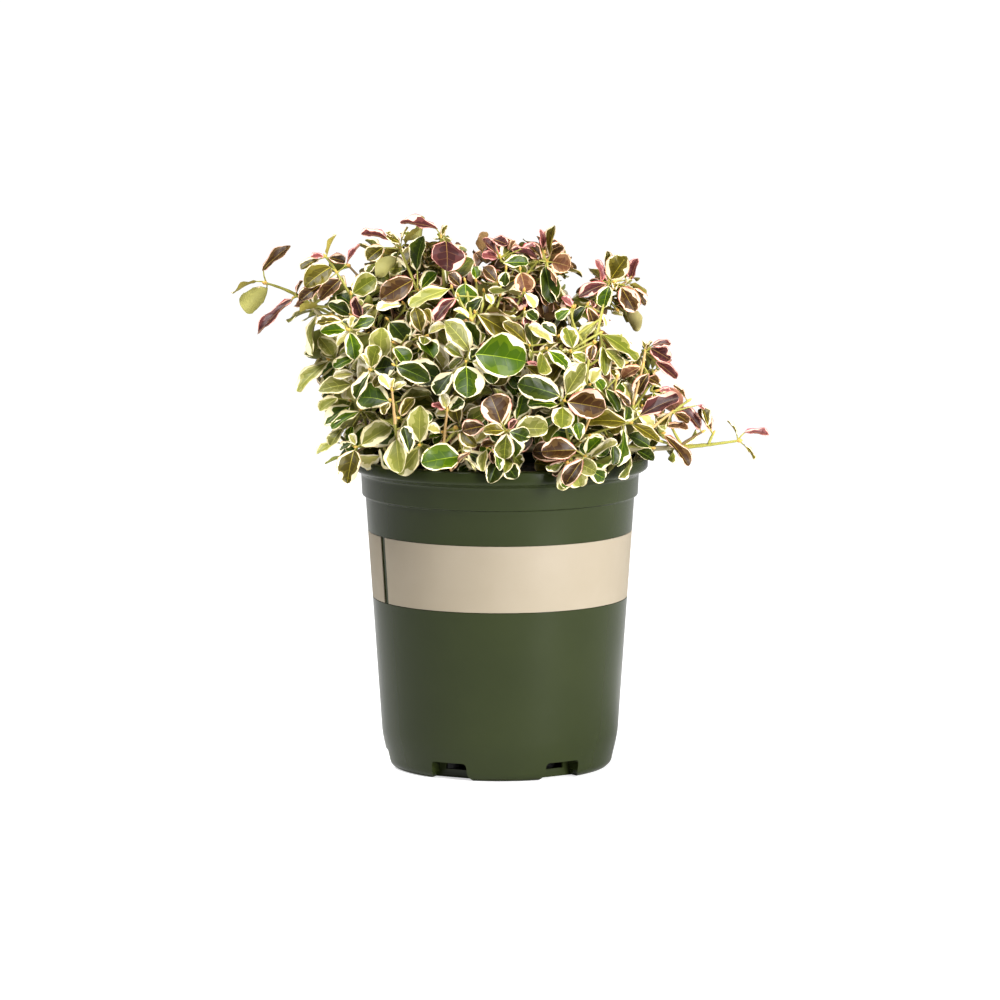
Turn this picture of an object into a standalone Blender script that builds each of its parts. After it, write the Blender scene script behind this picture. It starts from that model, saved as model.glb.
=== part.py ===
"""A potted ivory jade wintercreeper: a low mound of small cream-edged leaves in a nursery pot.

Units are metres, +Z is up and the origin is the middle of the pot's flat underside. The plant's
front faces -Y. The pot, its band, the potting mix, the short stem, every bough and every mass of
foliage is an object of its own. Each mass keeps to its own cell of the crown, so masses never meet,
and each starts a hair's breadth from the tip of its bough.
"""

import itertools
import math
import random
from dataclasses import dataclass

import bmesh
import bpy
from mathutils import Matrix, Vector
from mathutils.bvhtree import BVHTree

MM = 0.001
GAP = 0.3 * MM
UP = Vector((0.0, 0.0, 1.0))
FRONT = -90.0
ROUND_STEPS = 36
MERGE_WITHIN = 0.01 * MM

# Pot: radii are to the outer face, heights are above the ground.
POT_HEIGHT = 175.6 * MM
LIP_RADIUS = 83.0 * MM
LIP_HEIGHT = 6.7 * MM
LIP_EDGE = 0.9 * MM
SHOULDER_TOP = (78.0 * MM, 166.0 * MM)
SHOULDER_FOOT = (77.4 * MM, 153.7 * MM)
BODY_TOP = (75.5 * MM, 153.0 * MM)
BODY_FOOT = (66.4 * MM, 18.9 * MM)
HEEL = (62.9 * MM, 2.5 * MM)
HEEL_EASE = (62.0 * MM, 0.8 * MM)
FOOT_RADIUS = 60.2 * MM
WALL = 2.0 * MM
FLOOR = 2.2 * MM

# Band: a thin sleeve that lies flush in a shallow recess of the body.
BAND_LOW = 96.1 * MM
BAND_HIGH = 133.4 * MM
BAND_THICKNESS = 0.5 * MM
BAND_SEAM_AT = -62.0
BAND_SEAM_WIDTH = 5.0 * MM
BAND_STEPS = 36

# Drain pockets round the foot, each with a slit in its back wall.
POCKETS = 6
POCKET_FIRST_AT = -26.7
POCKET_WIDTH = 21.5 * MM
POCKET_HEIGHT = 10.0 * MM
POCKET_BACK = 53.0 * MM
DRAIN_WIDTH = 14.0 * MM
DRAIN_LOW = 4.5 * MM
DRAIN_HEIGHT = 3.6 * MM
DRAIN_DEPTH = 8.0 * MM

# Potting mix.
MIX_TOP = 164.0 * MM
MIX_CROWN_RADIUS = 24.0 * MM
MIX_RIM_DROP = 2.5 * MM

# Short stem and its fork. Each ring of the stem is a share of its height and a radius.
STEM_HEIGHT = 20.0 * MM
STEM_SIDES = 8
STEM_LEAN = Vector((2.4, -1.2, 0.0)) * MM
STEM_RINGS = ((0.0, 9.6), (0.14, 7.2), (0.38, 5.7), (0.75, 5.0), (1.0, 4.2))
ROOT_LOBES = 4
ROOT_LOBE_DEPTH = 0.22
FORK_AT = 0.78
STUB_LENGTH = 13.0 * MM
STUB_RADIUS = 2.3 * MM
FORK_LEAST_ANGLE = 29.0
FORK_ROUNDS = 60
FORK_PUSH = 0.25

# Boughs. The entry is the share of a mass's reach at which its bough ends.
BOUGH_RADIUS = 2.0 * MM
BOUGH_TIP_RADIUS = 1.35 * MM
BOUGH_SIDES = 5
BOUGH_RINGS = 4
BOUGH_ENTRY = 0.62
BOUGH_STIFFNESS = 0.4

# Twigs. They leave the stem from its first share on, over the next run of shares.
TWIG_RADIUS = 1.25 * MM
TWIG_TIP_RADIUS = 0.75 * MM
TWIG_SIDES = 3
TWIG_RINGS = 3
TWIG_FIRST = 0.08
TWIG_RUN = 0.72
TWIG_REACHES = (1.0, 0.8, 0.6, 0.45)
TWIG_STEM_SHARE = 0.5
TWIG_STIFFNESS = 0.3
CAP_ANGLE = 118.0

# Leaves. The outline is the share along and half the width at each corner of one side.
LEAF_LENGTH = 22.0 * MM
LEAF_WIDTH = 0.77
LEAF_THICKNESS = 0.75 * MM
LEAF_OUTLINE = ((0.34, 0.43), (0.74, 0.42))
LEAF_KEEL_AT = 0.45
LEAF_SPREAD = 0.16
LEAF_FACING = (0.55, 0.35, 0.45)
LEAF_SIZES = (1.0, 0.88, 0.76)
LEAF_TURNS = (0.0, 24.0, -24.0, 48.0, -48.0)
NODE_SPACING = 16.0 * MM
NODE_LIFT = 12.0
LIFT_SPREAD = 8.0
TURN_SPREAD = 0.25
BARE_SHARE = 0.14
ROSETTE_START = 0.6 * MM
ROSETTE_SPACING = 3.4 * MM
ROSETTE_REACH = 11.2 * MM
ROSETTE_LIFT = 34.0
ROSETTE_SIZE = 0.86

# Space between things: cells of masses, limbs and the pot.
GOLDEN_ANGLE = math.pi * (3.0 - math.sqrt(5.0))
HEART = Vector((0.0, 0.0, 186.0)) * MM
CELL_MARGIN = 0.3 * MM
LIMB_MARGIN = 0.45 * MM
LIP_INSIDE = SHOULDER_TOP[0] - WALL - LIMB_MARGIN

SHADE_ANGLE = 40.0
BOUGH_SHADE_ANGLE = 60.0
LEAF_SHADE_ANGLE = 30.0


@dataclass(frozen=True)
class Mass:
    """One mass of foliage: where it sits, how far its twigs reach, all in millimetres."""

    name: str
    centre: tuple
    reach: tuple
    leaders: tuple = ()
    twigs: int = 6
    leaf_scale: float = 1.0

    @property
    def middle(self):
        """The mass's centre in metres."""
        return Vector(self.centre) * MM

    @property
    def mean_reach(self):
        """The mean of its three reaches in metres."""
        return sum(self.reach) / 3.0 * MM


MASSES = (
    Mass("front_left", (-59, -52, 195), (29, 28, 23), ((-84, -40, 180),)),
    Mass("front_centre", (-10, -64, 197), (27, 21, 23)),
    Mass("front_right", (43, -56, 194), (29, 26, 22), ((37, -86, 182),)),
    Mass("brow_left", (-53, -46, 242), (28, 27, 24)),
    Mass("brow_centre", (-4, -53, 242), (27, 22, 24)),
    Mass("brow_right", (45, -42, 233), (24, 26, 22)),
    Mass("left", (-80, 4, 217), (18, 32, 31)),
    Mass("top_left", (-70, -2, 266), (23, 26, 21)),
    Mass("top", (-29, -2, 276), (23, 26, 19), ((-46, -8, 297),)),
    Mass("top_right", (14, 2, 269), (20, 26, 20), ((24, -4, 289),)),
    Mass("upper_right", (58, -8, 264), (12, 14, 14), twigs=4),
    Mass("right", (71, 0, 210), (19, 30, 28)),
    Mass(
        "right_shoot",
        (117, -18, 182),
        (26, 9, 9),
        ((143, -18, 186.5), (118, -19, 183), (99, -20, 197), (103, -16, 174)),
        5,
        0.74,
    ),
    Mass("left_shoot", (-114, -12, 267), (23, 14, 14), ((-131, -10, 271.5), (-103, -28, 277)), 5, 0.84),
    Mass("back_left", (-55, 53, 204), (29, 27, 28)),
    Mass("back", (0, 67, 209), (28, 20, 29)),
    Mass("back_right", (53, 51, 202), (28, 28, 27)),
    Mass("crest_left", (-42, 42, 255), (28, 24, 23)),
    Mass("crest_right", (12, 46, 252), (28, 23, 23)),
)


def clear_scene():
    """Removes what the scene holds at the start."""
    for obj in list(bpy.data.objects):
        bpy.data.objects.remove(obj, do_unlink=True)


def finish(name, colour, roughness):
    """A matte or satin material with one colour."""
    made = bpy.data.materials.new(name)
    made.use_nodes = True
    shader = made.node_tree.nodes["Principled BSDF"]
    shader.inputs["Base Color"].default_value = (*colour, 1.0)
    shader.inputs["Roughness"].default_value = roughness
    made.diffuse_color = (*colour, 1.0)
    return made


def object_from(name, shape, material, parent, at=Vector()):
    """Puts the bmesh shape, built in world space, into an object whose origin is at the point."""
    bmesh.ops.translate(shape, verts=shape.verts, vec=-at)
    bmesh.ops.recalc_face_normals(shape, faces=shape.faces)
    mesh = bpy.data.meshes.new(name)
    shape.to_mesh(mesh)
    shape.free()
    obj = bpy.data.objects.new(name, mesh)
    if material:
        mesh.materials.append(material)
    obj.location = at
    obj.parent = parent
    bpy.context.scene.collection.objects.link(obj)
    return obj


def shade_round(obj, angle=SHADE_ANGLE):
    """Smooth shading that keeps edges sharper than the angle."""
    obj.data.shade_smooth()
    obj.data.set_sharp_from_angle(angle=math.radians(angle))


def turned(profile):
    """A closed solid of revolution round Z from (radius, height) points, both ends on the axis."""
    shape = bmesh.new()
    points = [shape.verts.new((radius, 0.0, height)) for radius, height in profile]
    edges = [shape.edges.new(pair) for pair in zip(points, points[1:])]
    bmesh.ops.spin(
        shape,
        geom=points + edges,
        axis=UP,
        cent=(0.0, 0.0, 0.0),
        angle=math.tau,
        steps=ROUND_STEPS,
        use_merge=True,
    )
    bmesh.ops.remove_doubles(shape, verts=shape.verts, dist=MERGE_WITHIN)
    return shape


def block(centre, size, turn):
    """A box whose local X is turned by the angle in degrees round Z through the origin."""
    shape = bmesh.new()
    place = Matrix.Rotation(math.radians(turn), 4, "Z") @ Matrix.Translation(centre)
    bmesh.ops.create_cube(shape, size=1.0, matrix=place @ Matrix.Diagonal((*size, 1.0)))
    return shape


def cut(obj, tool):
    """Cuts the tool out of the object with a modifier. The tool stays as a hidden guide."""
    change = obj.modifiers.new(f"cut {tool.name}", "BOOLEAN")
    change.operation = "DIFFERENCE"
    change.object = tool
    tool.hide_render = True
    tool.display_type = "WIRE"


def on_line(low, high, height):
    """The radius at a height on the straight line between two (radius, height) points."""
    share = (height - low[1]) / (high[1] - low[1])
    return low[0] + share * (high[0] - low[0])


def body_radius(height):
    """The outer radius of the pot's straight body at a height."""
    return on_line(BODY_FOOT, BODY_TOP, height)


def outer_profile():
    """The pot's outside from the axis under the floor to the axis over the lip."""
    recess = BAND_THICKNESS + GAP
    low = BAND_LOW - GAP
    high = BAND_HIGH + GAP
    lip_low = POT_HEIGHT - LIP_HEIGHT
    return (
        (0.0, 0.0),
        (FOOT_RADIUS, 0.0),
        HEEL_EASE,
        HEEL,
        BODY_FOOT,
        (body_radius(low), low),
        (body_radius(low) - recess, low),
        (body_radius(high) - recess, high),
        (body_radius(high), high),
        BODY_TOP,
        SHOULDER_FOOT,
        SHOULDER_TOP,
        (LIP_RADIUS - LIP_EDGE, lip_low),
        (LIP_RADIUS, lip_low + LIP_EDGE),
        (LIP_RADIUS, POT_HEIGHT - LIP_EDGE),
        (LIP_RADIUS - LIP_EDGE, POT_HEIGHT),
        (0.0, POT_HEIGHT),
    )


def cavity_profile(inset=0.0, top=POT_HEIGHT + MM):
    """The pot's inside, up to a height, with an even inset for what fills it."""
    side = WALL + inset
    return (
        (0.0, FLOOR + inset),
        (FOOT_RADIUS - side, FLOOR + inset),
        (BODY_FOOT[0] - side, BODY_FOOT[1]),
        (BODY_TOP[0] - side, BODY_TOP[1] - WALL),
        (SHOULDER_FOOT[0] - side, SHOULDER_FOOT[1]),
        (SHOULDER_TOP[0] - side, min(top, SHOULDER_TOP[1])),
        (SHOULDER_TOP[0] - side, top),
        (0.0, top),
    )


def make_pot(parent, plastic):
    """The moulded pot: a tapered wall with a shoulder, a lip and drain pockets at its foot."""
    pot = object_from("pot", turned(outer_profile()), plastic, parent)
    cavity = object_from("pot_cavity", turned(cavity_profile()), None, parent)
    cut(pot, cavity)
    reach = 2.0 * (LIP_RADIUS - POCKET_BACK)
    for index in range(POCKETS):
        angle = FRONT + POCKET_FIRST_AT + index * 360.0 / POCKETS
        walls = block(
            (POCKET_BACK - WALL + reach / 2.0, 0.0, 0.0),
            (reach, POCKET_WIDTH + 2.0 * WALL, 2.0 * (POCKET_HEIGHT + WALL)),
            angle,
        )
        cut(cavity, object_from(f"pocket_walls_{index}", walls, None, parent))
        hollow = block(
            (POCKET_BACK + reach / 2.0, 0.0, 0.0),
            (reach, POCKET_WIDTH, 2.0 * POCKET_HEIGHT),
            angle,
        )
        cut(pot, object_from(f"pocket_{index}", hollow, None, parent))
        drain = block(
            (POCKET_BACK, 0.0, DRAIN_LOW + DRAIN_HEIGHT / 2.0),
            (DRAIN_DEPTH, DRAIN_WIDTH, DRAIN_HEIGHT),
            angle,
        )
        cut(pot, object_from(f"drain_{index}", drain, None, parent))
    shade_round(pot)


def make_band(parent, tan):
    """The plain band round the body: a sleeve left open at its seam."""
    open_angle = BAND_SEAM_WIDTH / body_radius((BAND_LOW + BAND_HIGH) / 2.0)
    start = math.radians(FRONT + BAND_SEAM_AT) + open_angle / 2.0
    shape = bmesh.new()
    corners = []
    for height, inset in ((BAND_LOW, 0.0), (BAND_HIGH, 0.0), (BAND_HIGH, 1.0), (BAND_LOW, 1.0)):
        radius = body_radius(height) - inset * BAND_THICKNESS
        corners.append(
            shape.verts.new((radius * math.cos(start), radius * math.sin(start), height))
        )
    section = shape.faces.new(corners)
    bmesh.ops.spin(
        shape,
        geom=[section],
        axis=UP,
        cent=(0.0, 0.0, 0.0),
        angle=math.tau - open_angle,
        steps=BAND_STEPS,
    )
    shade_round(object_from("band", shape, tan, parent))


def make_mix(parent, crumbly):
    """The potting mix: a plug that fills the pot and clears the drain pockets."""
    step_radius = POCKET_BACK - WALL - 2.0 * GAP
    step_height = POCKET_HEIGHT + WALL + GAP
    inside = cavity_profile(inset=GAP, top=MIX_TOP)
    profile = (
        inside[0],
        (step_radius, inside[0][1]),
        (step_radius, step_height),
        (on_line(inside[1], inside[2], step_height), step_height),
        *inside[2:5],
        (inside[5][0], MIX_TOP - MIX_RIM_DROP),
        (MIX_CROWN_RADIUS, MIX_TOP),
        (0.0, MIX_TOP),
    )
    shade_round(object_from("potting_mix", turned(profile), crumbly, parent))


def side_frame(direction):
    """Two unit vectors square to the direction and to each other."""
    aside = UP if abs(direction.z) < 0.9 else Vector((1.0, 0.0, 0.0))
    first = direction.cross(aside).normalized()
    return first, direction.cross(first).normalized()


@dataclass(frozen=True)
class Curve:
    """A quadratic curve that leaves its start towards its bend."""

    start: Vector
    bend: Vector
    end: Vector

    def point(self, share):
        """The point at a share of the way."""
        rest = 1.0 - share
        return self.start * rest * rest + self.bend * 2.0 * rest * share + self.end * share * share

    def points(self, count):
        """Even steps along the curve."""
        return [self.point(index / (count - 1)) for index in range(count)]

    def along(self, share):
        """The way the curve runs at a share of its length."""
        step = 0.02
        return (self.point(min(share + step, 1.0)) - self.point(share - step)).normalized()

    def length(self):
        """The length of the curve."""
        points = self.points(9)
        return sum((after - before).length for before, after in zip(points, points[1:]))


def add_skin(shape, rings):
    """Joins rings of vertices, from first to last, into one closed skin."""
    sides = len(rings[0])
    for low, high in zip(rings, rings[1:]):
        for side in range(sides):
            after = (side + 1) % sides
            shape.faces.new((low[side], low[after], high[after], high[side]))
    shape.faces.new(rings[0][::-1])
    shape.faces.new(rings[-1])


def add_tube(shape, points, radii, sides):
    """Adds a closed tapering tube through the points to the bmesh."""
    first, _ = side_frame((points[1] - points[0]).normalized())
    rings = []
    for index, point in enumerate(points):
        before = points[max(index - 1, 0)]
        after = points[min(index + 1, len(points) - 1)]
        along = (after - before).normalized()
        first = (first - along * first.dot(along)).normalized()
        second = along.cross(first)
        ring = []
        for side in range(sides):
            angle = math.tau * side / sides
            out = first * math.cos(angle) + second * math.sin(angle)
            ring.append(shape.verts.new(point + out * radii[index]))
        rings.append(ring)
    add_skin(shape, rings)


def taper(start, end, count):
    """Radii that run evenly from start to end."""
    return [start + (end - start) * index / (count - 1) for index in range(count)]


def tree_of(shape):
    """A search tree over the bmesh's faces, for overlap tests."""
    shape.normal_update()
    return BVHTree.FromBMesh(shape)


def fork_point():
    """The middle of the fork, on the leaning stem."""
    return UP * (MIX_TOP + GAP + FORK_AT * STEM_HEIGHT) + STEM_LEAN * FORK_AT


def fork_directions():
    """Where each bough leaves the fork: towards its mass, eased apart where two would touch."""
    fork = fork_point()
    directions = [(mass.middle - fork).normalized() for mass in MASSES]
    least = math.radians(FORK_LEAST_ANGLE)
    for _ in range(FORK_ROUNDS):
        pushes = [Vector() for _ in directions]
        for (i, one), (_, other) in itertools.permutations(enumerate(directions), 2):
            angle = one.angle(other)
            if angle < least:
                pushes[i] += (one - other).normalized() * (least - angle) * FORK_PUSH
        directions = [(way + push).normalized() for way, push in zip(directions, pushes)]
    return directions


def make_stem(parent, bark, directions):
    """The short stem: flared at its flat foot, leaning, with a stub for each bough at its fork."""
    foot = UP * (MIX_TOP + GAP)
    shape = bmesh.new()
    rings = []
    for share, radius in STEM_RINGS:
        point = foot + UP * share * STEM_HEIGHT + STEM_LEAN * share
        ring = []
        for side in range(STEM_SIDES):
            angle = math.tau * side / STEM_SIDES
            lobe = 1.0 + ROOT_LOBE_DEPTH * (1.0 - share) ** 3 * math.cos(ROOT_LOBES * angle)
            out = Vector((math.cos(angle), math.sin(angle), 0.0))
            ring.append(shape.verts.new(point + out * radius * MM * lobe))
        rings.append(ring)
    add_skin(shape, rings)
    stem = object_from("stem", shape, bark, parent, foot)
    fork = fork_point()
    stubs = []
    for direction in directions:
        stub = bmesh.new()
        end = fork + direction * STUB_LENGTH
        add_tube(stub, [fork, end], [STUB_RADIUS, BOUGH_RADIUS], BOUGH_SIDES)
        stubs.append(object_from("stub", stub, bark, parent))
    join(stem, stubs)
    shade_round(stem)


def join(body, pieces):
    """Fuses the pieces into the body with one Boolean union, then keeps the one closed skin."""
    group = bpy.data.collections.new(f"{body.name} pieces")
    for piece in pieces:
        group.objects.link(piece)
    bpy.context.view_layer.update()
    union = body.modifiers.new("fuse", "BOOLEAN")
    union.operation = "UNION"
    union.operand_type = "COLLECTION"
    union.collection = group
    graph = bpy.context.evaluated_depsgraph_get()
    fused = bpy.data.meshes.new_from_object(body.evaluated_get(graph))
    body.modifiers.clear()
    body.data = fused
    for piece in pieces:
        bpy.data.objects.remove(piece, do_unlink=True)
    bpy.data.collections.remove(group)
    drop_loose(fused)


def drop_loose(mesh):
    """Keeps the largest connected skin, so a sealed hollow is filled and a scrap is dropped."""
    shape = bmesh.new()
    shape.from_mesh(mesh)
    bmesh.ops.triangulate(shape, faces=shape.faces)
    left = set(shape.verts)
    skins = []
    while left:
        skin = set()
        edge = [left.pop()]
        while edge:
            vert = edge.pop()
            skin.add(vert)
            for link in vert.link_edges:
                other = link.other_vert(vert)
                if other in left:
                    left.remove(other)
                    edge.append(other)
        skins.append(skin)
    skins.sort(key=len)
    loose = [vert for skin in skins[:-1] for vert in skin]
    bmesh.ops.delete(shape, geom=loose, context="VERTS")
    shape.to_mesh(mesh)
    shape.free()


def bough_line(mass, direction):
    """A bough's curve, from its stub to where it enters its mass."""
    fork = fork_point()
    start = fork + direction * (STUB_LENGTH + GAP)
    inward = (mass.middle - fork).normalized()
    depth = 0.0
    for axis, reach in enumerate(mass.reach):
        depth += (inward[axis] / (reach * MM)) ** 2
    end = mass.middle - inward * BOUGH_ENTRY / math.sqrt(depth)
    return Curve(start, start + direction * (end - start).length * BOUGH_STIFFNESS, end)


def make_bough(parent, bark, mass, direction):
    """One tapering limb from the fork to its mass."""
    line = bough_line(mass, direction)
    shape = bmesh.new()
    radii = taper(BOUGH_RADIUS, BOUGH_TIP_RADIUS, BOUGH_RINGS)
    add_tube(shape, line.points(BOUGH_RINGS), radii, BOUGH_SIDES)
    bough = object_from(f"bough_{mass.name}", shape, bark, parent, line.start)
    shade_round(bough, BOUGH_SHADE_ANGLE)


def bough_guard(mass, direction):
    """A slightly swollen bough, for keeping twigs and leaves clear of it."""
    points = bough_line(mass, direction).points(BOUGH_RINGS)
    points[0] = points[0] - direction * STUB_LENGTH
    shape = bmesh.new()
    radii = taper(STUB_RADIUS + LIMB_MARGIN, BOUGH_TIP_RADIUS + LIMB_MARGIN, BOUGH_RINGS)
    add_tube(shape, points, radii, BOUGH_SIDES)
    guard = tree_of(shape)
    shape.free()
    return guard


def pot_guard():
    """The pot's outer form down to the body with the mix as its floor, slightly swollen."""
    shape = turned(
        (
            (0.0, MIX_TOP + LIMB_MARGIN),
            (LIP_INSIDE, MIX_TOP - MM),
            (LIP_INSIDE, POT_HEIGHT + CELL_MARGIN),
            (LIP_RADIUS + CELL_MARGIN, POT_HEIGHT + CELL_MARGIN),
            (LIP_RADIUS + CELL_MARGIN, POT_HEIGHT - LIP_HEIGHT - CELL_MARGIN),
            BODY_TOP,
            (0.0, BODY_TOP[1]),
        )
    )
    guard = tree_of(shape)
    shape.free()
    return guard


def above_pot(point):
    """Whether a point is outside the pot's and the mix's own space."""
    radius = math.hypot(point.x, point.y)
    if radius > LIP_RADIUS + CELL_MARGIN:
        return True
    if radius > LIP_INSIDE:
        return point.z > POT_HEIGHT + CELL_MARGIN
    return point.z > MIX_TOP + LIMB_MARGIN


def in_cell(mass, point):
    """Whether a point is in the mass's own cell: nearer to it, by its size, than to any other."""
    for other in MASSES:
        if other is mass:
            continue
        between = other.middle - mass.middle
        apart = between.length
        reach = (apart * apart + mass.mean_reach**2 - other.mean_reach**2) / (2.0 * apart)
        if (point - mass.middle).dot(between) / apart > reach - CELL_MARGIN:
            return False
    return above_pot(point)


def tip_targets(mass):
    """Where the mass's twigs end: its leaders, then points spread evenly over its outer side."""
    outward = (mass.middle - HEART).normalized()
    first, second = side_frame(outward)
    targets = [Vector(leader) * MM for leader in mass.leaders]
    count = mass.twigs - len(targets)
    low = math.cos(math.radians(CAP_ANGLE))
    for index in range(count):
        height = 1.0 - (index + 0.5) / count * (1.0 - low)
        ring = math.sqrt(1.0 - height * height)
        angle = index * GOLDEN_ANGLE
        way = outward * height + (first * math.cos(angle) + second * math.sin(angle)) * ring
        scaled = Vector(way[axis] * mass.reach[axis] * MM for axis in range(3))
        targets.append(mass.middle + scaled)
    return targets


def leaf_shape(root, way, up, length):
    """A thin leaf: a flat top of kite-rounded outline over one low point under its middle."""
    side = way.cross(up).normalized()
    face = side.cross(way)
    shape = bmesh.new()
    near = []
    far = []
    for along, half in LEAF_OUTLINE:
        middle = root + way * along * length
        reach = side * half * LEAF_WIDTH * length
        near.append(shape.verts.new(middle + reach))
        far.append(shape.verts.new(middle - reach))
    rim = [shape.verts.new(root), *near, shape.verts.new(root + way * length), *far[::-1]]
    under = shape.verts.new(root + way * LEAF_KEEL_AT * length - face * LEAF_THICKNESS)
    shape.faces.new(rim)
    for index, vert in enumerate(rim):
        shape.faces.new((rim[(index + 1) % len(rim)], vert, under))
    return shape


def leaf_places(twig, rng):
    """Opposite pairs of leaves along a twig: root, way, the twig's way and size of each."""
    length = twig.length()
    places = []
    back = ROSETTE_START
    turn = rng.uniform(0.0, math.pi)
    step = ROSETTE_SPACING
    while back < length * (1.0 - BARE_SHARE):
        share = 1.0 - back / length
        along = twig.along(share)
        first, second = side_frame(along)
        lift = ROSETTE_LIFT if back < ROSETTE_REACH else NODE_LIFT
        lift = math.radians(lift + rng.uniform(-LIFT_SPREAD, LIFT_SPREAD))
        out = first * math.cos(turn) + second * math.sin(turn)
        for side in (out, -out):
            way = (side * math.cos(lift) + along * math.sin(lift)).normalized()
            size = 1.0 + rng.uniform(-LEAF_SPREAD, LEAF_SPREAD)
            if back < ROSETTE_SPACING:
                size *= ROSETTE_SIZE
            places.append((twig.point(share), way, along, size))
        turn += math.pi / 2.0 + rng.uniform(-TURN_SPREAD, TURN_SPREAD)
        back += step
        step = NODE_SPACING
    return places


def facing(point, way, along):
    """The up side of a leaf: square to it, between its twig's way, the sky and outward."""
    outward = (point - HEART).normalized()
    by_twig, by_sky, by_outward = LEAF_FACING
    up = along * by_twig + UP * by_sky + outward * by_outward
    up -= way * up.dot(way)
    return up.normalized()


def fits(mass, shape, tree, guards, skip=None):
    """Whether a shape stays in its mass's cell and clear of every limb and the pot."""
    if not all(in_cell(mass, vert.co) for vert in shape.verts):
        return False
    return not any(tree.overlap(guard) for name, guard in guards.items() if name != skip)


def grow_twigs(mass, stem, guards):
    """The twigs of a mass that fit, as their curves and their shapes.

    Each twig starts on the stem and is tried shorter until it stays in the mass's own cell.
    """
    grown = []
    targets = tip_targets(mass)
    for index, target in enumerate(targets[1:], start=1):
        share = TWIG_FIRST + TWIG_RUN * index / len(targets)
        start = stem.point(share)
        for shorter in TWIG_REACHES:
            end = start + (target - start) * shorter
            lean = stem.along(share) * TWIG_STEM_SHARE + (target - start).normalized()
            line = Curve(start, start + lean * (end - start).length * TWIG_STIFFNESS, end)
            shape = bmesh.new()
            radii = taper(TWIG_RADIUS, TWIG_TIP_RADIUS, TWIG_RINGS)
            add_tube(shape, line.points(TWIG_RINGS), radii, TWIG_SIDES)
            if fits(mass, shape, tree_of(shape), guards, mass.name):
                grown.append((line, shape))
                break
            shape.free()
    return grown


def grow_leaves(mass, twigs, limbs, guards):
    """The leaves of a mass that fit, each turned or made smaller until it touches nothing.

    The limbs are the search trees of the twigs, in the same order. A leaf may meet its own twig.
    """
    rng = random.Random(mass.name)
    shapes = []
    trees = []
    for number, twig in enumerate(twigs):
        others = [limb for index, limb in enumerate(limbs) if index != number]
        for at, way, along, size in leaf_places(twig, rng):
            for smaller, yaw in itertools.product(LEAF_SIZES, LEAF_TURNS):
                up = facing(at, way, along)
                turned_way = Matrix.Rotation(math.radians(yaw), 3, up) @ way
                length = LEAF_LENGTH * mass.leaf_scale * size * smaller
                shape = leaf_shape(at, turned_way, up, length)
                tree = tree_of(shape)
                blocked = any(tree.overlap(other) for other in trees + others)
                if not blocked and fits(mass, shape, tree, guards):
                    shapes.append(shape)
                    trees.append(tree)
                    break
                shape.free()
    return shapes


def make_mass(parent, green, mass, direction, guards):
    """One mass of foliage: a stem from the bough's tip, twigs on it and leaves on them."""
    bough = bough_line(mass, direction)
    onward = (bough.end - bough.bend).normalized()
    root = bough.end + onward * GAP
    tip = tip_targets(mass)[0]
    stem = Curve(root, root + onward * (tip - root).length * BOUGH_STIFFNESS, tip)
    rings = TWIG_RINGS + 1
    main_shape = bmesh.new()
    radii = taper(BOUGH_TIP_RADIUS, TWIG_TIP_RADIUS, rings)
    add_tube(main_shape, stem.points(rings), radii, TWIG_SIDES + 1)
    grown = grow_twigs(mass, stem, guards)
    twigs = [stem, *(line for line, _ in grown)]
    limbs = [tree_of(main_shape), *(tree_of(shape) for _, shape in grown)]
    leaves = grow_leaves(mass, twigs, limbs, guards)
    shapes = [*(shape for _, shape in grown), *leaves]
    body = object_from(f"foliage_{mass.name}", main_shape, green, parent, root)
    join(body, [object_from("piece", shape, green, parent) for shape in shapes])
    shade_round(body, LEAF_SHADE_ANGLE)


def main():
    """Builds the pot, its band and mix, then the stem, the boughs and the masses."""
    clear_scene()
    plastic = finish("olive green plastic", (0.072, 0.095, 0.042), 0.42)
    tan = finish("tan band", (0.66, 0.54, 0.40), 0.5)
    crumbly = finish("potting mix", (0.05, 0.032, 0.02), 0.95)
    bark = finish("young bark", (0.42, 0.34, 0.13), 0.6)
    green = finish("variegated leaf", (0.24, 0.32, 0.11), 0.45)
    plant = bpy.data.objects.new("potted_wintercreeper", None)
    bpy.context.scene.collection.objects.link(plant)
    make_pot(plant, plastic)
    make_band(plant, tan)
    make_mix(plant, crumbly)
    directions = fork_directions()
    make_stem(plant, bark, directions)
    guards = {"pot": pot_guard()}
    for mass, direction in zip(MASSES, directions):
        make_bough(plant, bark, mass, direction)
        guards[mass.name] = bough_guard(mass, direction)
    for mass, direction in zip(MASSES, directions):
        make_mass(plant, green, mass, direction, guards)


main()
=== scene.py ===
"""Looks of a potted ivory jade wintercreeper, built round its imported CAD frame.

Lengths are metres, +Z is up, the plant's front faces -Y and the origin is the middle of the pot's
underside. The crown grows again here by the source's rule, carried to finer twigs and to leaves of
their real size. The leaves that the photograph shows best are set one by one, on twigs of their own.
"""

import itertools
import logging
import math
import random
from dataclasses import dataclass, field
from enum import Enum

import bmesh
import bpy
import numpy as np
from mathutils import Matrix, Vector, noise
from mathutils.bvhtree import BVHTree


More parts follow.
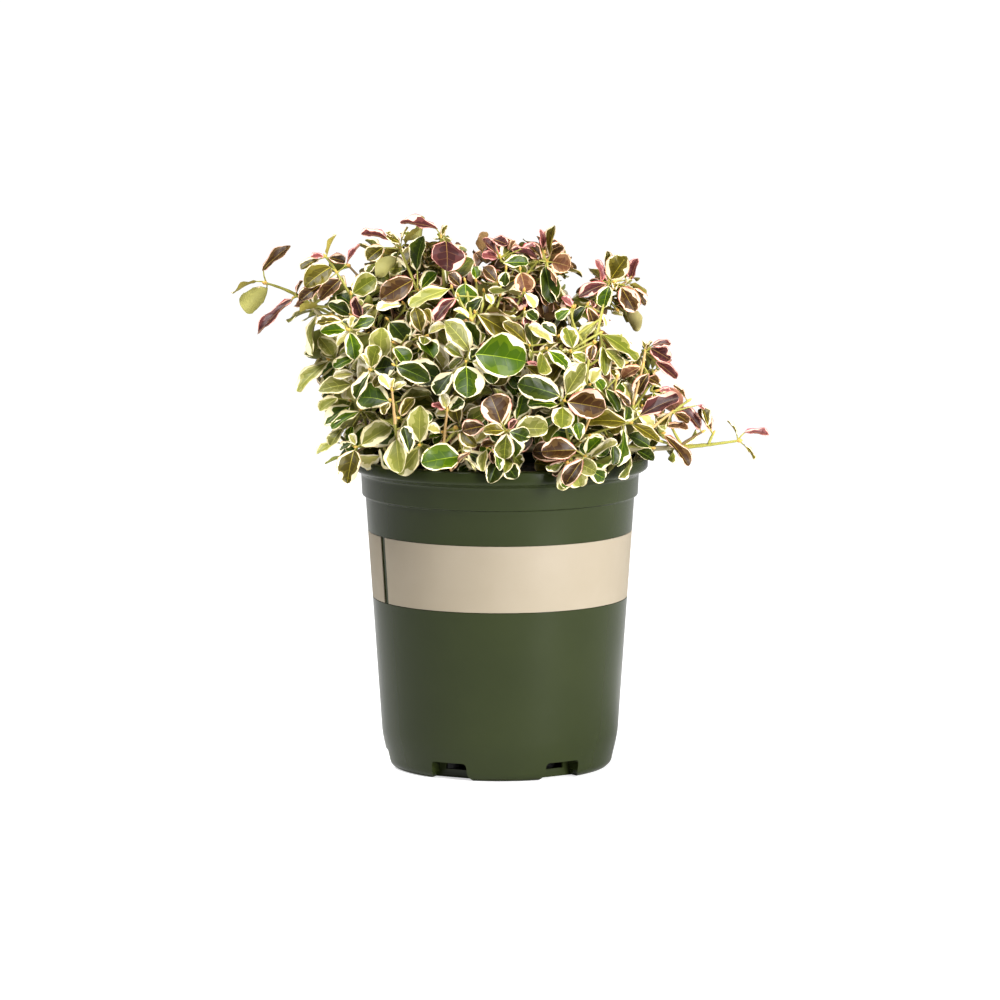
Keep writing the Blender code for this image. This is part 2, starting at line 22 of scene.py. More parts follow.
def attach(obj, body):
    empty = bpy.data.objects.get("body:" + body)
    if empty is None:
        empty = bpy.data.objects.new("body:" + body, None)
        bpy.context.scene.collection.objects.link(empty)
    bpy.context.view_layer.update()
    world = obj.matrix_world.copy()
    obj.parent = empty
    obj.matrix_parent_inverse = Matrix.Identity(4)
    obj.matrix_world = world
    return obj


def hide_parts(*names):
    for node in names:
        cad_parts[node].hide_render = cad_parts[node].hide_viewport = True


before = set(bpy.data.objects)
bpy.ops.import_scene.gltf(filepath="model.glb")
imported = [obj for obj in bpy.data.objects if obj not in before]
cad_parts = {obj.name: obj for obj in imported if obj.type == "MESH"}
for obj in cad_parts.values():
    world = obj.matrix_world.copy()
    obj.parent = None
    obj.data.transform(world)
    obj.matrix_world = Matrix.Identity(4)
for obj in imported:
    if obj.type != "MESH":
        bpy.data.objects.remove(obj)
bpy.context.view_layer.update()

LOG = logging.getLogger("wintercreeper")
MM = 0.001
UP = Vector((0.0, 0.0, 1.0))
GOLDEN_ANGLE = math.pi * (3.0 - math.sqrt(5.0))

Colour = tuple[int, int, int]


def linear(colour: Colour) -> tuple[float, float, float, float]:
    """Turns a display colour into the linear one that a shader takes.

    Args:
        colour: red, green and blue from 0 to 255.

    Returns:
        Linear red, green, blue and an alpha of 1.
    """
    parts = []
    for value in colour:
        share = value / 255.0
        parts.append(share / 12.92 if share <= 0.04045 else ((share + 0.055) / 1.055) ** 2.4)
    return (*parts, 1.0)


def side_frame(direction: Vector) -> tuple[Vector, Vector]:
    """Two unit vectors square to the direction and to each other."""
    aside = UP if abs(direction.z) < 0.9 else Vector((1.0, 0.0, 0.0))
    first = direction.cross(aside).normalized()
    return first, direction.cross(first).normalized()


def smooth_step(share: float) -> float:
    """Eases a share from 0 to 1."""
    share = min(max(share, 0.0), 1.0)
    return share * share * (3.0 - 2.0 * share)


@dataclass(frozen=True)
class PhotoCamera:
    """The camera that sees the plant from where the photograph was taken."""

    lens: float = 234.0
    sensor: float = 36.0
    aim_height: float = 0.1498
    pitch: float = math.radians(7.46)
    away: float = 3.62
    pixels: float = 1000.0

    def turn(self) -> Matrix:
        """The camera's rotation."""
        return Matrix.Rotation(math.pi / 2.0 - self.pitch, 3, "X")

    def place(self) -> Vector:
        """Where the camera stands."""
        return Vector((0.0, -self.away, self.aim_height + self.away * math.tan(self.pitch)))

    def put(self) -> bpy.types.Object:
        """Makes the camera and sets it as the scene's own."""
        data = bpy.data.cameras.new("photo_camera")
        data.lens = self.lens
        data.sensor_width = self.sensor
        data.clip_start = 0.1
        data.clip_end = 50.0
        camera = bpy.data.objects.new("photo_camera", data)
        camera.location = self.place()
        camera.rotation_euler = self.turn().to_euler()
        bpy.context.scene.collection.objects.link(camera)
        bpy.context.scene.camera = camera
        return camera

    def point(self, across: float, down: float, depth: float) -> Vector:
        """Where a pixel's ray meets the upright plane at a depth.

        Args:
            across: the pixel's column.
            down: the pixel's row.
            depth: how far the plane stands in front of the pot's axis.

        Returns:
            The point in the plane.
        """
        scale = self.sensor / self.lens / self.pixels
        half = self.pixels / 2.0
        ray = self.turn() @ Vector(((across - half) * scale, (half - down) * scale, -1.0))
        start = self.place()
        return start + ray * ((-depth - start.y) / ray.y)

    def pixels_of(self, points: np.ndarray) -> np.ndarray:
        """The pixel and distance of each point.

        Args:
            points: an array of points, one a row.

        Returns:
            Rows of column, row and distance from the camera.
        """
        local = (points - np.array(self.place())) @ np.array(self.turn())
        scale = self.sensor / self.lens / self.pixels
        across = self.pixels / 2.0 + local[:, 0] / -local[:, 2] / scale
        down = self.pixels / 2.0 - local[:, 1] / -local[:, 2] / scale
        return np.column_stack((across, down, -local[:, 2]))


CAMERA = PhotoCamera()


class MeshParts:
    """Gathers vertices and faces of many small things into one mesh."""

    def __init__(self) -> None:
        """Starts empty."""
        self.vertices: list[np.ndarray] = []
        self.faces: dict[int, list[np.ndarray]] = {3: [], 4: []}
        self.slots: dict[int, list[np.ndarray]] = {3: [], 4: []}
        self.count = 0

    def add(self, vertices: np.ndarray, quads: np.ndarray, triangles: np.ndarray,
            quad_slots: np.ndarray, triangle_slots: np.ndarray) -> None:
        """Adds one closed thing.

        Args:
            vertices: its points, one a row.
            quads: four indices a row.
            triangles: three indices a row.
            quad_slots: a material number for each quad.
            triangle_slots: a material number for each triangle.
        """
        self.vertices.append(vertices)
        self.faces[4].append(quads + self.count)
        self.faces[3].append(triangles + self.count)
        self.slots[4].append(quad_slots)
        self.slots[3].append(triangle_slots)
        self.count += len(vertices)

    def build(self, name: str, materials: list[bpy.types.Material], sharp: float) -> bpy.types.Object:
        """Makes the object, with only the materials that it uses.

        Args:
            name: the object's name.
            materials: the list that the material numbers count in.
            sharp: edges sharper than this angle in degrees stay crisp.

        Returns:
            The new object.
        """
        quads = np.concatenate(self.faces[4]) if self.faces[4] else np.zeros((0, 4), int)
        triangles = np.concatenate(self.faces[3]) if self.faces[3] else np.zeros((0, 3), int)
        numbers = np.concatenate([*self.slots[4], *self.slots[3]]).astype(int)
        used, local = np.unique(numbers, return_inverse=True)
        totals = np.concatenate((np.full(len(quads), 4), np.full(len(triangles), 3)))
        loops = np.concatenate((quads.ravel(), triangles.ravel()))
        mesh = bpy.data.meshes.new(name)
        mesh.vertices.add(self.count)
        mesh.vertices.foreach_set("co", np.concatenate(self.vertices).astype(np.float32).ravel())
        mesh.loops.add(len(loops))
        mesh.loops.foreach_set("vertex_index", loops.astype(np.int32))
        mesh.polygons.add(len(totals))
        mesh.polygons.foreach_set("loop_start", (np.cumsum(totals) - totals).astype(np.int32))
        for number in used:
            mesh.materials.append(materials[number])
        mesh.polygons.foreach_set("material_index", local.astype(np.int32))
        mesh.update(calc_edges=True)
        mesh.shade_smooth()
        mesh.set_sharp_from_angle(angle=math.radians(sharp))
        mesh.validate()
        made = bpy.data.objects.new(name, mesh)
        bpy.context.scene.collection.objects.link(made)
        return made


def ring_mesh(points: list[Vector], radii: np.ndarray, sides: int) -> tuple[np.ndarray, ...]:
    """A closed tube of rings along points, with its ends drawn to a point.

    Args:
        points: the middle of each ring.
        radii: a radius for each ring, or for each ring and side.
        sides: how many sides it has.

    Returns:
        Its vertices, quads and triangles.
    """
    radii = np.broadcast_to(np.asarray(radii, float).reshape(len(points), -1), (len(points), sides))
    first, _ = side_frame((points[1] - points[0]).normalized())
    angles = np.arange(sides) * math.tau / sides
    rows = []
    for index, point in enumerate(points):
        before = points[max(index - 1, 0)]
        after = points[min(index + 1, len(points) - 1)]
        along = (after - before).normalized()
        first = (first - along * first.dot(along)).normalized()
        second = along.cross(first)
        out = np.outer(np.cos(angles), first) + np.outer(np.sin(angles), second)
        rows.append(np.array(point) + out * radii[index][:, None])
    vertices = np.concatenate([*rows, [np.array(points[0])], [np.array(points[-1])]])
    low, after = np.arange(sides), (np.arange(sides) + 1) % sides
    quads = [
        np.column_stack((low, after, after + sides, low + sides)) + row * sides
        for row in range(len(points) - 1)
    ]
    start, end = len(vertices) - 2, len(vertices) - 1
    last = (len(points) - 1) * sides
    caps = [
        np.column_stack((after, low, np.full(sides, start))),
        np.column_stack((low + last, after + last, np.full(sides, end))),
    ]
    return vertices, np.concatenate(quads), np.concatenate(caps)


def tree_of(vertices: np.ndarray, faces: list[tuple[int, ...]]) -> BVHTree:
    """A search tree over a small mesh, for overlap tests."""
    return BVHTree.FromPolygons([tuple(vertex) for vertex in vertices], faces)


class NodeShop:
    """Builds the node groups that several finishes share."""

    @staticmethod
    def group(name: str, inputs: dict[str, float], outputs: list[str]) -> tuple:
        """A new group with float sockets.

        Args:
            name: the group's name.
            inputs: each input's name and starting value.
            outputs: the outputs' names.

        Returns:
            The tree, its input node and its output node.
        """
        tree = bpy.data.node_groups.new(name, "ShaderNodeTree")
        for title, value in inputs.items():
            socket = tree.interface.new_socket(title, in_out="INPUT", socket_type="NodeSocketFloat")
            socket.default_value = value
        for title in outputs:
            tree.interface.new_socket(title, in_out="OUTPUT", socket_type="NodeSocketFloat")
        return tree, tree.nodes.new("NodeGroupInput"), tree.nodes.new("NodeGroupOutput")

    @staticmethod
    def noise_in(tree: bpy.types.NodeTree, scale: bpy.types.NodeSocket, detail: float) -> bpy.types.Node:
        """Adds a noise texture in object space whose scale is linked."""
        place = tree.nodes.new("ShaderNodeTexCoord")
        made = tree.nodes.new("ShaderNodeTexNoise")
        made.inputs["Detail"].default_value = detail
        tree.links.new(place.outputs["Object"], made.inputs["Vector"])
        tree.links.new(scale, made.inputs["Scale"])
        return made

    @classmethod
    def mottle(cls) -> bpy.types.NodeTree:
        """Soft patches: a value that wanders between Low and High."""
        tree, into, out = cls.group("mottle", {"Scale": 100.0, "Low": 0.3, "High": 0.5}, ["Value"])
        patches = cls.noise_in(tree, into.outputs["Scale"], 3.0)
        spread = tree.nodes.new("ShaderNodeMapRange")
        spread.inputs["From Min"].default_value = 0.3
        spread.inputs["From Max"].default_value = 0.7
        tree.links.new(patches.outputs["Fac"], spread.inputs["Value"])
        tree.links.new(into.outputs["Low"], spread.inputs["To Min"])
        tree.links.new(into.outputs["High"], spread.inputs["To Max"])
        tree.links.new(spread.outputs["Result"], out.inputs["Value"])
        return tree

    @classmethod
    def grain(cls) -> bpy.types.NodeTree:
        """Fine relief: coarse waves with a finer grain on them, as a height."""
        tree, into, out = cls.group("grain", {"Coarse": 200.0, "Fine": 900.0, "Share": 0.3}, ["Height"])
        coarse = cls.noise_in(tree, into.outputs["Coarse"], 2.0)
        fine = cls.noise_in(tree, into.outputs["Fine"], 4.0)
        weigh = tree.nodes.new("ShaderNodeMath")
        weigh.operation = "MULTIPLY_ADD"
        tree.links.new(fine.outputs["Fac"], weigh.inputs[0])
        tree.links.new(into.outputs["Share"], weigh.inputs[1])
        tree.links.new(coarse.outputs["Fac"], weigh.inputs[2])
        tree.links.new(weigh.outputs["Value"], out.inputs["Height"])
        return tree


GROUPS = {"mottle": NodeShop.mottle(), "grain": NodeShop.grain()}


@dataclass(frozen=True)
class Finish:
    """A surface whose roughness wanders and whose relief is fine, in one plain colour."""

    name: str
    colour: Colour
    roughness: tuple[float, float] = (0.35, 0.5)
    patch_scale: float = 160.0
    relief: tuple[float, float, float] = (300.0, 1200.0, 0.3)
    relief_depth: float = 0.05 * MM
    specular: float = 0.5
    second: Colour | None = None
    colour_scale: float = 60.0

    def placed(self, material: bpy.types.Material, name: str, values: dict[str, float]) -> bpy.types.Node:
        """Puts one of the shared groups in the material, with its own values."""
        made = material.node_tree.nodes.new("ShaderNodeGroup")
        made.node_tree = GROUPS[name]
        for title, value in values.items():
            made.inputs[title].default_value = value
        return made

    def material(self) -> bpy.types.Material:
        """Makes the material, once."""
        if self.name in bpy.data.materials:
            return bpy.data.materials[self.name]
        made = bpy.data.materials.new(self.name)
        made.use_nodes = True
        nodes, links = made.node_tree.nodes, made.node_tree.links
        shader = nodes["Principled BSDF"]
        shader.inputs["Base Color"].default_value = linear(self.colour)
        shader.inputs["Specular IOR Level"].default_value = self.specular
        low, high = self.roughness
        rough = self.placed(made, "mottle", {"Scale": self.patch_scale, "Low": low, "High": high})
        links.new(rough.outputs["Value"], shader.inputs["Roughness"])
        coarse, fine, share = self.relief
        grain = self.placed(made, "grain", {"Coarse": coarse, "Fine": fine, "Share": share})
        bump = nodes.new("ShaderNodeBump")
        bump.inputs["Distance"].default_value = self.relief_depth
        links.new(grain.outputs["Height"], bump.inputs["Height"])
        links.new(bump.outputs["Normal"], shader.inputs["Normal"])
        if self.second:
            self.add_second_colour(made, shader)
        made.diffuse_color = linear(self.colour)
        return made

    def add_second_colour(self, made: bpy.types.Material, shader: bpy.types.Node) -> None:
        """Lets the second colour show through in patches.

        Args:
            made: the material.
            shader: its shader, whose Base Color is then linked.
        """
        patches = self.placed(made, "mottle", {"Scale": self.colour_scale, "Low": 0.0, "High": 1.0})
        blend = made.node_tree.nodes.new("ShaderNodeMix")
        blend.data_type = "RGBA"
        blend.inputs["A"].default_value = linear(self.colour)
        blend.inputs["B"].default_value = linear(self.second)
        made.node_tree.links.new(patches.outputs["Value"], blend.inputs["Factor"])
        made.node_tree.links.new(blend.outputs["Result"], shader.inputs["Base Color"])


class Part(Enum):
    """The coloured parts of a leaf."""

    CORE = 0
    FIELD = 1
    MARGIN = 2
    EDGE = 3
    RIB = 4
    UNDER = 5
    VEIN = 6


@dataclass(frozen=True)
class LeafColours:
    """Display colours of a leaf's parts: its dark core, paler field, margin, edge, rib and underside.
    The edge is partly the leaf's own pink or tan rim and partly painted shade at the rim.
    """

    core: Colour
    field: Colour
    margin: Colour
    edge: Colour
    rib: Colour
    under: Colour
    vein_share: float = 0.4

    @property
    def vein(self) -> Colour:
        """The side veins' colour, between the core's and the rib's."""
        return tuple(round(a + (b - a) * self.vein_share) for a, b in zip(self.core, self.rib))


class Tint(Enum):
    """The kinds of leaf on the plant."""

    # The edge colours, darker than the margins, are partly each leaf's own pink or tan rim and partly painted shade.
    FRESH = LeafColours((54, 79, 0), (78, 99, 4), (248, 238, 194), (238, 218, 164), (140, 160, 24), (146, 150, 72))
    DEEP = LeafColours((34, 46, 0), (52, 62, 4), (248, 238, 196), (238, 214, 164), (96, 116, 30), (126, 130, 62))
    JADE = LeafColours((92, 98, 26), (132, 129, 58), (250, 240, 204), (232, 200, 162), (150, 152, 54), (156, 152, 84))
    OLIVE = LeafColours((73, 65, 10), (101, 91, 26), (242, 227, 186), (210, 168, 128), (160, 146, 42), (150, 138, 64))
    BRONZE = LeafColours((55, 33, 10), (85, 61, 28), (242, 206, 178), (202, 120, 102), (140, 116, 40), (140, 110, 70))
    PURPLE = LeafColours((64, 28, 27), (94, 48, 45), (236, 186, 166), (202, 98, 98), (134, 100, 54), (144, 106, 84))
    ROSE = LeafColours((110, 54, 54), (148, 86, 86), (240, 174, 160), (206, 88, 102), (158, 102, 76), (180, 124, 102))
    IVORY = LeafColours((182, 174, 98), (240, 226, 176), (255, 247, 218), (252, 236, 196), (196, 188, 84), (220, 206, 136))
    LIME = LeafColours((130, 132, 56), (166, 162, 92), (250, 239, 192), (244, 224, 166), (184, 180, 84), (160, 154, 92))
    COPPER = LeafColours((98, 61, 40), (128, 91, 62), (240, 202, 160), (216, 144, 112), (160, 128, 72), (162, 128, 88))


SHADES = (1.0, 0.82)
SHADED_PARTS = (Part.CORE, Part.FIELD, Part.UNDER)


class LeafFinishes:
    """All leaf materials, by tint, shade and part."""

    def __init__(self) -> None:
        """Makes the materials."""
        self.materials: list[bpy.types.Material] = []
        self.numbers: dict[tuple[Tint, int], np.ndarray] = {}
        for tint in Tint:
            for shade, strength in enumerate(SHADES):
                self.numbers[tint, shade] = np.array([self.number(tint, part, shade, strength) for part in Part])

    def number(self, tint: Tint, part: Part, shade: int, strength: float) -> int:
        """The number of a part's material, made when it is first asked for.

        Args:
            tint: the kind of leaf.
            part: the part of the leaf.
            shade: which of the shades.
            strength: how bright that shade is.

        Returns:
            Its place in the list of materials.
        """
        if part not in SHADED_PARTS:
            shade, strength = 0, 1.0
        colour = getattr(tint.value, part.name.lower())
        name = f"leaf_{tint.name}_{part.name}_{shade}".lower()
        matte = part is Part.UNDER
        finish = Finish(
            name,
            tuple(round(value * strength) for value in colour),
            roughness=(0.5, 0.65) if matte else (0.32, 0.46),
            patch_scale=260.0,
            relief=(320.0, 1000.0, 0.1),
            relief_depth=0.05 * MM,
            specular=0.15 if matte else 0.2,
        )
        known = [material.name for material in self.materials]
        if name in known:
            return known.index(name)
        self.materials.append(finish.material())
        return len(self.materials) - 1


@dataclass(frozen=True)
class LeafForm:
    """The shape of one leaf, in its own frame: x along it, y across and z up."""

    length: float
    width: float = 0.72
    fold: float = 0.22
    curl: float = 0.5
    wave: float = 0.03
    phase: float = 0.0
    taper: float = 0.7
    blunt: float = 0.45
    margin: float = 1.7 * MM
    splash: int = 0
    seed: int = 0

    TOP_COLUMNS = 10
    UNDER_COLUMNS = 3
    VEINS = 4
    ROWS = 3 * VEINS + 1
    THICKNESS = 0.026
    VEIN_LEAN = 0.6
    VEIN_WIDTH = 0.2 * MM
    QUILT = 0.011

    def half_width(self, along: np.ndarray) -> np.ndarray:
        """Half the leaf's width at shares of its length: tapered to the root, blunt at the tip."""
        along = np.clip(along, 0.0, 1.0)
        widest = self.taper / (self.taper + self.blunt)
        full = widest**self.taper * (1.0 - widest) ** self.blunt
        return self.width * self.length / 2.0 * along**self.taper * (1.0 - along) ** self.blunt / full

    def rows(self) -> np.ndarray:
        """Shares of the length: a row on each swell of the face and two at each side vein between them."""
        swells = np.linspace(0.03, 0.94, self.VEINS + 1)
        veins = (swells[:-1] + swells[1:]) / 2.0
        half = self.VEIN_WIDTH / 2.0 / self.length
        return np.sort(np.concatenate((swells, veins - half, veins + half)))

    def leaned(self, along: np.ndarray, across: np.ndarray) -> np.ndarray:
        """The rows' points, drawn towards the tip the nearer they are to the margin, as the veins run."""
        along = along[:, None]
        return along + self.VEIN_LEAN * np.abs(across) * np.sqrt(along) * (1.0 - along)

    def surface(self, along: np.ndarray, across: np.ndarray, half: np.ndarray, sink: float = 0.0) -> np.ndarray:
        """Points of the leaf's face.

        Args:
            along: shares of the length, of the same shape as across.
            across: from -1 at one margin to 1 at the other.
            half: half the width there.
            sink: how far under the face, at the rib, the points lie.

        Returns:
            The points, with x, y and z last.
        """
        angle = self.curl * along
        ease = np.abs(across) ** 1.25
        lift = half * ease * math.sin(self.fold)
        ripple = np.sin(math.tau * 1.7 * along + self.phase + np.where(across > 0.0, 1.9, 0.0))
        lift = lift + self.wave * self.length * ripple * across**2
        lift = lift - sink * (1.0 - across**4)
        x = self.length * np.sin(angle) / self.curl + lift * np.sin(angle)
        z = -self.length * (1.0 - np.cos(angle)) / self.curl + lift * np.cos(angle)
        return np.stack((x, half * across * math.cos(self.fold), z), axis=-1)

    def zones(self, along: np.ndarray, half: np.ndarray) -> np.ndarray:
        """Where the coloured zones end on each side, from the rib out.

        Args:
            along: the rows' shares of the length.
            half: half the width of each row.

        Returns:
            For each side and row, the shares where rib, core, field and margin end.
        """
        rng = np.random.default_rng(self.seed)
        sides = []
        for side in (-1, 1):
            drift = 0.5 * np.sin(math.tau * (rng.uniform(0.6, 1.4) * along + rng.uniform()))
            drift = drift + 0.3 * np.sin(math.tau * (rng.uniform(2.0, 3.5) * along + rng.uniform()))
            cream = self.margin * np.maximum(1.0 + drift + rng.uniform(-0.15, 0.2, len(along)), 0.3)
            if rng.uniform() < 0.15 or side == self.splash:
                start = rng.uniform(0.45, 0.8)
                splash = np.exp(-(((along - start) / rng.uniform(0.1, 0.22)) ** 2))
                cream = cream + splash * half * rng.uniform(0.25, 0.6)
            green = np.clip(1.0 - cream / half, 0.16, 0.95)
            core = green * np.clip(0.62 + rng.uniform(-0.22, 0.2, len(along)), 0.2, 0.95)
            rib = np.clip(0.24 * MM * (1.0 - 0.8 * along) / half, 0.012, 0.1)
            # The edge strip, the outer part of the margin: partly the leaf's own pink rim, partly painted shade at the
            # rim.
            edge = np.maximum(green + (1.0 - green) * 0.6, 1.0 - 0.3 * MM / half)
            sides.append(np.stack((rib, np.maximum(core, rib + 0.03), green, edge)))
        return np.stack(sides)

    def points(self) -> np.ndarray:
        """All points of the leaf: root, tip, the rows of its face and the rows under it."""
        rng = np.random.default_rng(self.seed + 1)
        along = self.rows()
        half = self.half_width(along)
        left, right = self.zones(along, half)
        ones = np.ones(self.ROWS)
        across = np.stack((-ones, *-left[::-1], *right, ones), axis=1)
        rim = 1.0 + rng.uniform(-0.04, 0.03, (self.ROWS, 2))
        rows = self.leaned(along, across)
        halves = self.half_width(rows)
        halves[:, : self.TOP_COLUMNS // 2] *= rim[:, :1]
        halves[:, self.TOP_COLUMNS // 2 :] *= rim[:, 1:]
        face = self.surface(rows, across, halves)
        quilt = self.QUILT * self.length * np.where(np.arange(self.ROWS) % 3 == 0, 1.0, -1.0)
        quilt = (quilt * np.sin(math.pi * along))[:, None]
        face[..., 2] += quilt * np.sin(math.pi * np.abs(across))
        under_across = np.tile(np.array((-0.7, 0.0, 0.7)), (self.ROWS, 1))
        under_rows = self.leaned(along, under_across)
        sink = self.THICKNESS * self.length
        under = self.surface(under_rows, under_across, self.half_width(under_rows), sink)
        under[..., 2] += quilt * np.sin(math.pi * np.abs(under_across))
        ends = np.array(((0.0, 0.0, 0.0), (1.0, 0.0, 0.0)))
        tip = self.surface(np.array([1.0]), np.array([0.0]), np.array([0.0]))
        ends[1] = tip[0]
        return np.concatenate((ends, face.reshape(-1, 3), under.reshape(-1, 3)))

    def hull(self) -> np.ndarray:
        """A few points of the leaf's face, for overlap tests: root, tip and three rows of three."""
        along = np.repeat(np.array((0.16, 0.5, 0.84))[:, None], 3, axis=1)
        across = np.tile(np.array((-1.0, 0.0, 1.0)), (3, 1))
        rows = self.surface(along, across, self.half_width(along)).reshape(-1, 3)
        tip = self.surface(np.array([1.0]), np.array([0.0]), np.array([0.0]))
        return np.concatenate((np.zeros((1, 3)), tip, rows))


HULL_FACES = [
    (0, 3, 2), (0, 4, 3), (2, 3, 6, 5), (3, 4, 7, 6), (5, 6, 9, 8), (6, 7, 10, 9), (8, 9, 1), (9, 10, 1),
]


def leaf_faces() -> tuple[np.ndarray, np.ndarray, np.ndarray, np.ndarray]:
    """The faces that every leaf has, and the part of the leaf that each belongs to.

    Returns:
        Quads, triangles, the quads' parts and the triangles' parts.
    """
    columns, rows = LeafForm.TOP_COLUMNS, LeafForm.ROWS
    strips = [Part.EDGE, Part.MARGIN, Part.FIELD, Part.CORE, Part.RIB, Part.CORE, Part.FIELD, Part.MARGIN, Part.EDGE]

    def face(row: int, column: int) -> int:
        """The index of a point of the face."""
        return 2 + row * columns + column

    def under(row: int, column: int) -> int:
        """The index of a point under the face, whose outer columns are the rim's."""
        if column in (0, LeafForm.UNDER_COLUMNS + 1):
            return face(row, 0 if column == 0 else columns - 1)
        return 2 + rows * columns + row * LeafForm.UNDER_COLUMNS + column - 1

    quads, quad_parts, triangles, triangle_parts = [], [], [], []
    for column, part in enumerate(strips):
        for row in range(rows - 1):
            quads.append((face(row, column), face(row, column + 1), face(row + 1, column + 1), face(row + 1, column)))
            vein = row % 3 == 1 and part is Part.CORE
            quad_parts.append(Part.VEIN.value if vein else part.value)
        triangles.append((0, face(0, column + 1), face(0, column)))
        triangles.append((face(rows - 1, column), face(rows - 1, column + 1), 1))
        triangle_parts += [part.value] * 2
    for column in range(LeafForm.UNDER_COLUMNS + 1):
        for row in range(rows - 1):
            quads.append(
                (under(row, column), under(row + 1, column), under(row + 1, column + 1), under(row, column + 1))
            )
            quad_parts.append(Part.UNDER.value)
        triangles.append((0, under(0, column), under(0, column + 1)))
        triangles.append((under(rows - 1, column), 1, under(rows - 1, column + 1)))
        triangle_parts += [Part.UNDER.value] * 2
    return np.array(quads), np.array(triangles), np.array(quad_parts), np.array(triangle_parts)


LEAF_QUADS, LEAF_TRIANGLES, QUAD_PARTS, TRIANGLE_PARTS = leaf_faces()


@dataclass(frozen=True)
class Pose:
    """Where a leaf grows: its root, the way it points and the side that faces up."""

    root: Vector
    way: Vector
    up: Vector

    def world(self, local: np.ndarray) -> np.ndarray:
        """Carries points from the leaf's own frame into the plant's."""
        side = self.way.cross(self.up)
        axes = np.array((self.way, side, self.up))
        return np.array(self.root) + local @ axes


@dataclass(frozen=True)
class Mass:
    """One mass of foliage: where it sits, how far its twigs reach, all in millimetres."""

    name: str
    centre: tuple[float, float, float]
    reach: tuple[float, float, float]
    leaders: tuple[tuple[float, float, float], ...] = ()
    twigs: int = 10
    leaf_scale: float = 1.0

    @property
    def middle(self) -> Vector:
        """The mass's centre in metres."""
        return Vector(self.centre) * MM

    @property
    def mean_reach(self) -> float:
        """The mean of its three reaches."""
        return sum(self.reach) / 3.0 * MM


MASSES = (
    Mass("front_left", (-59, -52, 195), (29, 28, 23), ((-84, -40, 180),)),
    Mass("front_centre", (-10, -64, 197), (27, 21, 23)),
    Mass("front_right", (43, -56, 194), (29, 26, 22), ((37, -86, 182),)),
    Mass("brow_left", (-53, -46, 242), (28, 27, 24)),
    Mass("brow_centre", (-4, -53, 242), (27, 22, 24)),
    Mass("brow_right", (45, -42, 233), (24, 26, 22)),
    Mass("left", (-80, 4, 217), (18, 32, 31)),
    Mass("top_left", (-70, -2, 266), (23, 26, 21)),
    Mass("top", (-29, -2, 276), (23, 26, 19), ((-46, -8, 297),)),
    Mass("top_right", (14, 2, 269), (20, 26, 20), ((24, -4, 289),)),
    Mass("upper_right", (58, -8, 264), (12, 14, 14), twigs=6, leaf_scale=0.7),
    Mass("right", (71, 0, 210), (19, 30, 28)),
    Mass("right_shoot", (117, -18, 182), (26, 9, 9),
         ((133, -18, 185.5),), 0),
    Mass("left_shoot", (-114, -12, 267), (23, 14, 14), ((-130.5, -9, 273),), 0),
    Mass("back_left", (-55, 53, 204), (29, 27, 28)),
    Mass("back", (0, 67, 209), (28, 20, 29)),
    Mass("back_right", (53, 51, 202), (28, 28, 27)),
    Mass("crest_left", (-42, 42, 255), (28, 24, 23)),
    Mass("crest_right", (12, 46, 252), (28, 23, 23)),
)


@dataclass(frozen=True)
class Rule:
    """The growth rule's sizes, as in the source."""

    mix_top: float = 164.0 * MM
    stem_height: float = 20.0 * MM
    stem_lean: tuple[float, float, float] = (2.4, -1.2, 0.0)
    fork_at: float = 0.78
    stub: float = 13.0 * MM
    gap: float = 0.3 * MM
    least_angle: float = math.radians(29.0)
    fork_rounds: int = 60
    entry: float = 0.62
    stiffness: float = 0.4
    cap: float = math.radians(118.0)
    heart: tuple[float, float, float] = (0.0, 0.0, 186.0)
    cell_margin: float = 0.3 * MM
    limb_margin: float = 0.45 * MM
    lip_radius: float = 83.0 * MM
    lip_inside: float = 75.5 * MM
    lip_top: float = 175.6 * MM

    def fork(self) -> Vector:
        """The middle of the fork, on the leaning stem."""
        foot = Vector((0.0, 0.0, self.mix_top + self.gap + self.fork_at * self.stem_height))
        return foot + Vector(self.stem_lean) * MM * self.fork_at

    def directions(self) -> list[Vector]:
        """Where each bough leaves the fork, eased apart where two would touch."""
        ways = [(mass.middle - self.fork()).normalized() for mass in MASSES]
        for _ in range(self.fork_rounds):
            pushes = [Vector() for _ in ways]
            for (i, one), (j, other) in itertools.permutations(enumerate(ways), 2):
                angle = one.angle(other)
                if angle < self.least_angle:
                    pushes[i] += (one - other).normalized() * (self.least_angle - angle) * 0.25
            ways = [(way + push).normalized() for way, push in zip(ways, pushes)]
        return ways

    def bough(self, mass: Mass, way: Vector) -> "Curve":
        """The line of a bough, from its stub to where it enters its mass."""
        fork = self.fork()
        start = fork + way * (self.stub + self.gap)
        inward = (mass.middle - fork).normalized()
        depth = sum((inward[axis] / (mass.reach[axis] * MM)) ** 2 for axis in range(3))
        end = mass.middle - inward * self.entry / math.sqrt(depth)
        return Curve(start, start + way * (end - start).length * self.stiffness, end)

    def tips(self, mass: Mass) -> list[Vector]:
        """Where a mass's twigs end: its leaders, then points spread over its outer side."""
        outward = (mass.middle - Vector(self.heart) * MM).normalized()
        first, second = side_frame(outward)
        tips = [Vector(leader) * MM for leader in mass.leaders]
        count = max(mass.twigs - len(tips), 0)
        for index in range(count):
            height = 1.0 - (index + 0.5) / count * (1.0 - math.cos(self.cap))
            ring = math.sqrt(1.0 - height * height)
            angle = index * GOLDEN_ANGLE
            way = outward * height + (first * math.cos(angle) + second * math.sin(angle)) * ring
            tips.append(mass.middle + Vector(way[axis] * mass.reach[axis] * MM for axis in range(3)))
        return tips

    def above_pot(self, points: np.ndarray) -> bool:
        """Whether all points are outside the pot's and the mix's own space."""
        radius = np.hypot(points[:, 0], points[:, 1])
        floor = np.where(radius > self.lip_inside, self.lip_top + self.cell_margin, self.mix_top + self.limb_margin)
        return bool(np.all((radius > self.lip_radius + self.cell_margin) | (points[:, 2] > floor)))


RULE = Rule()


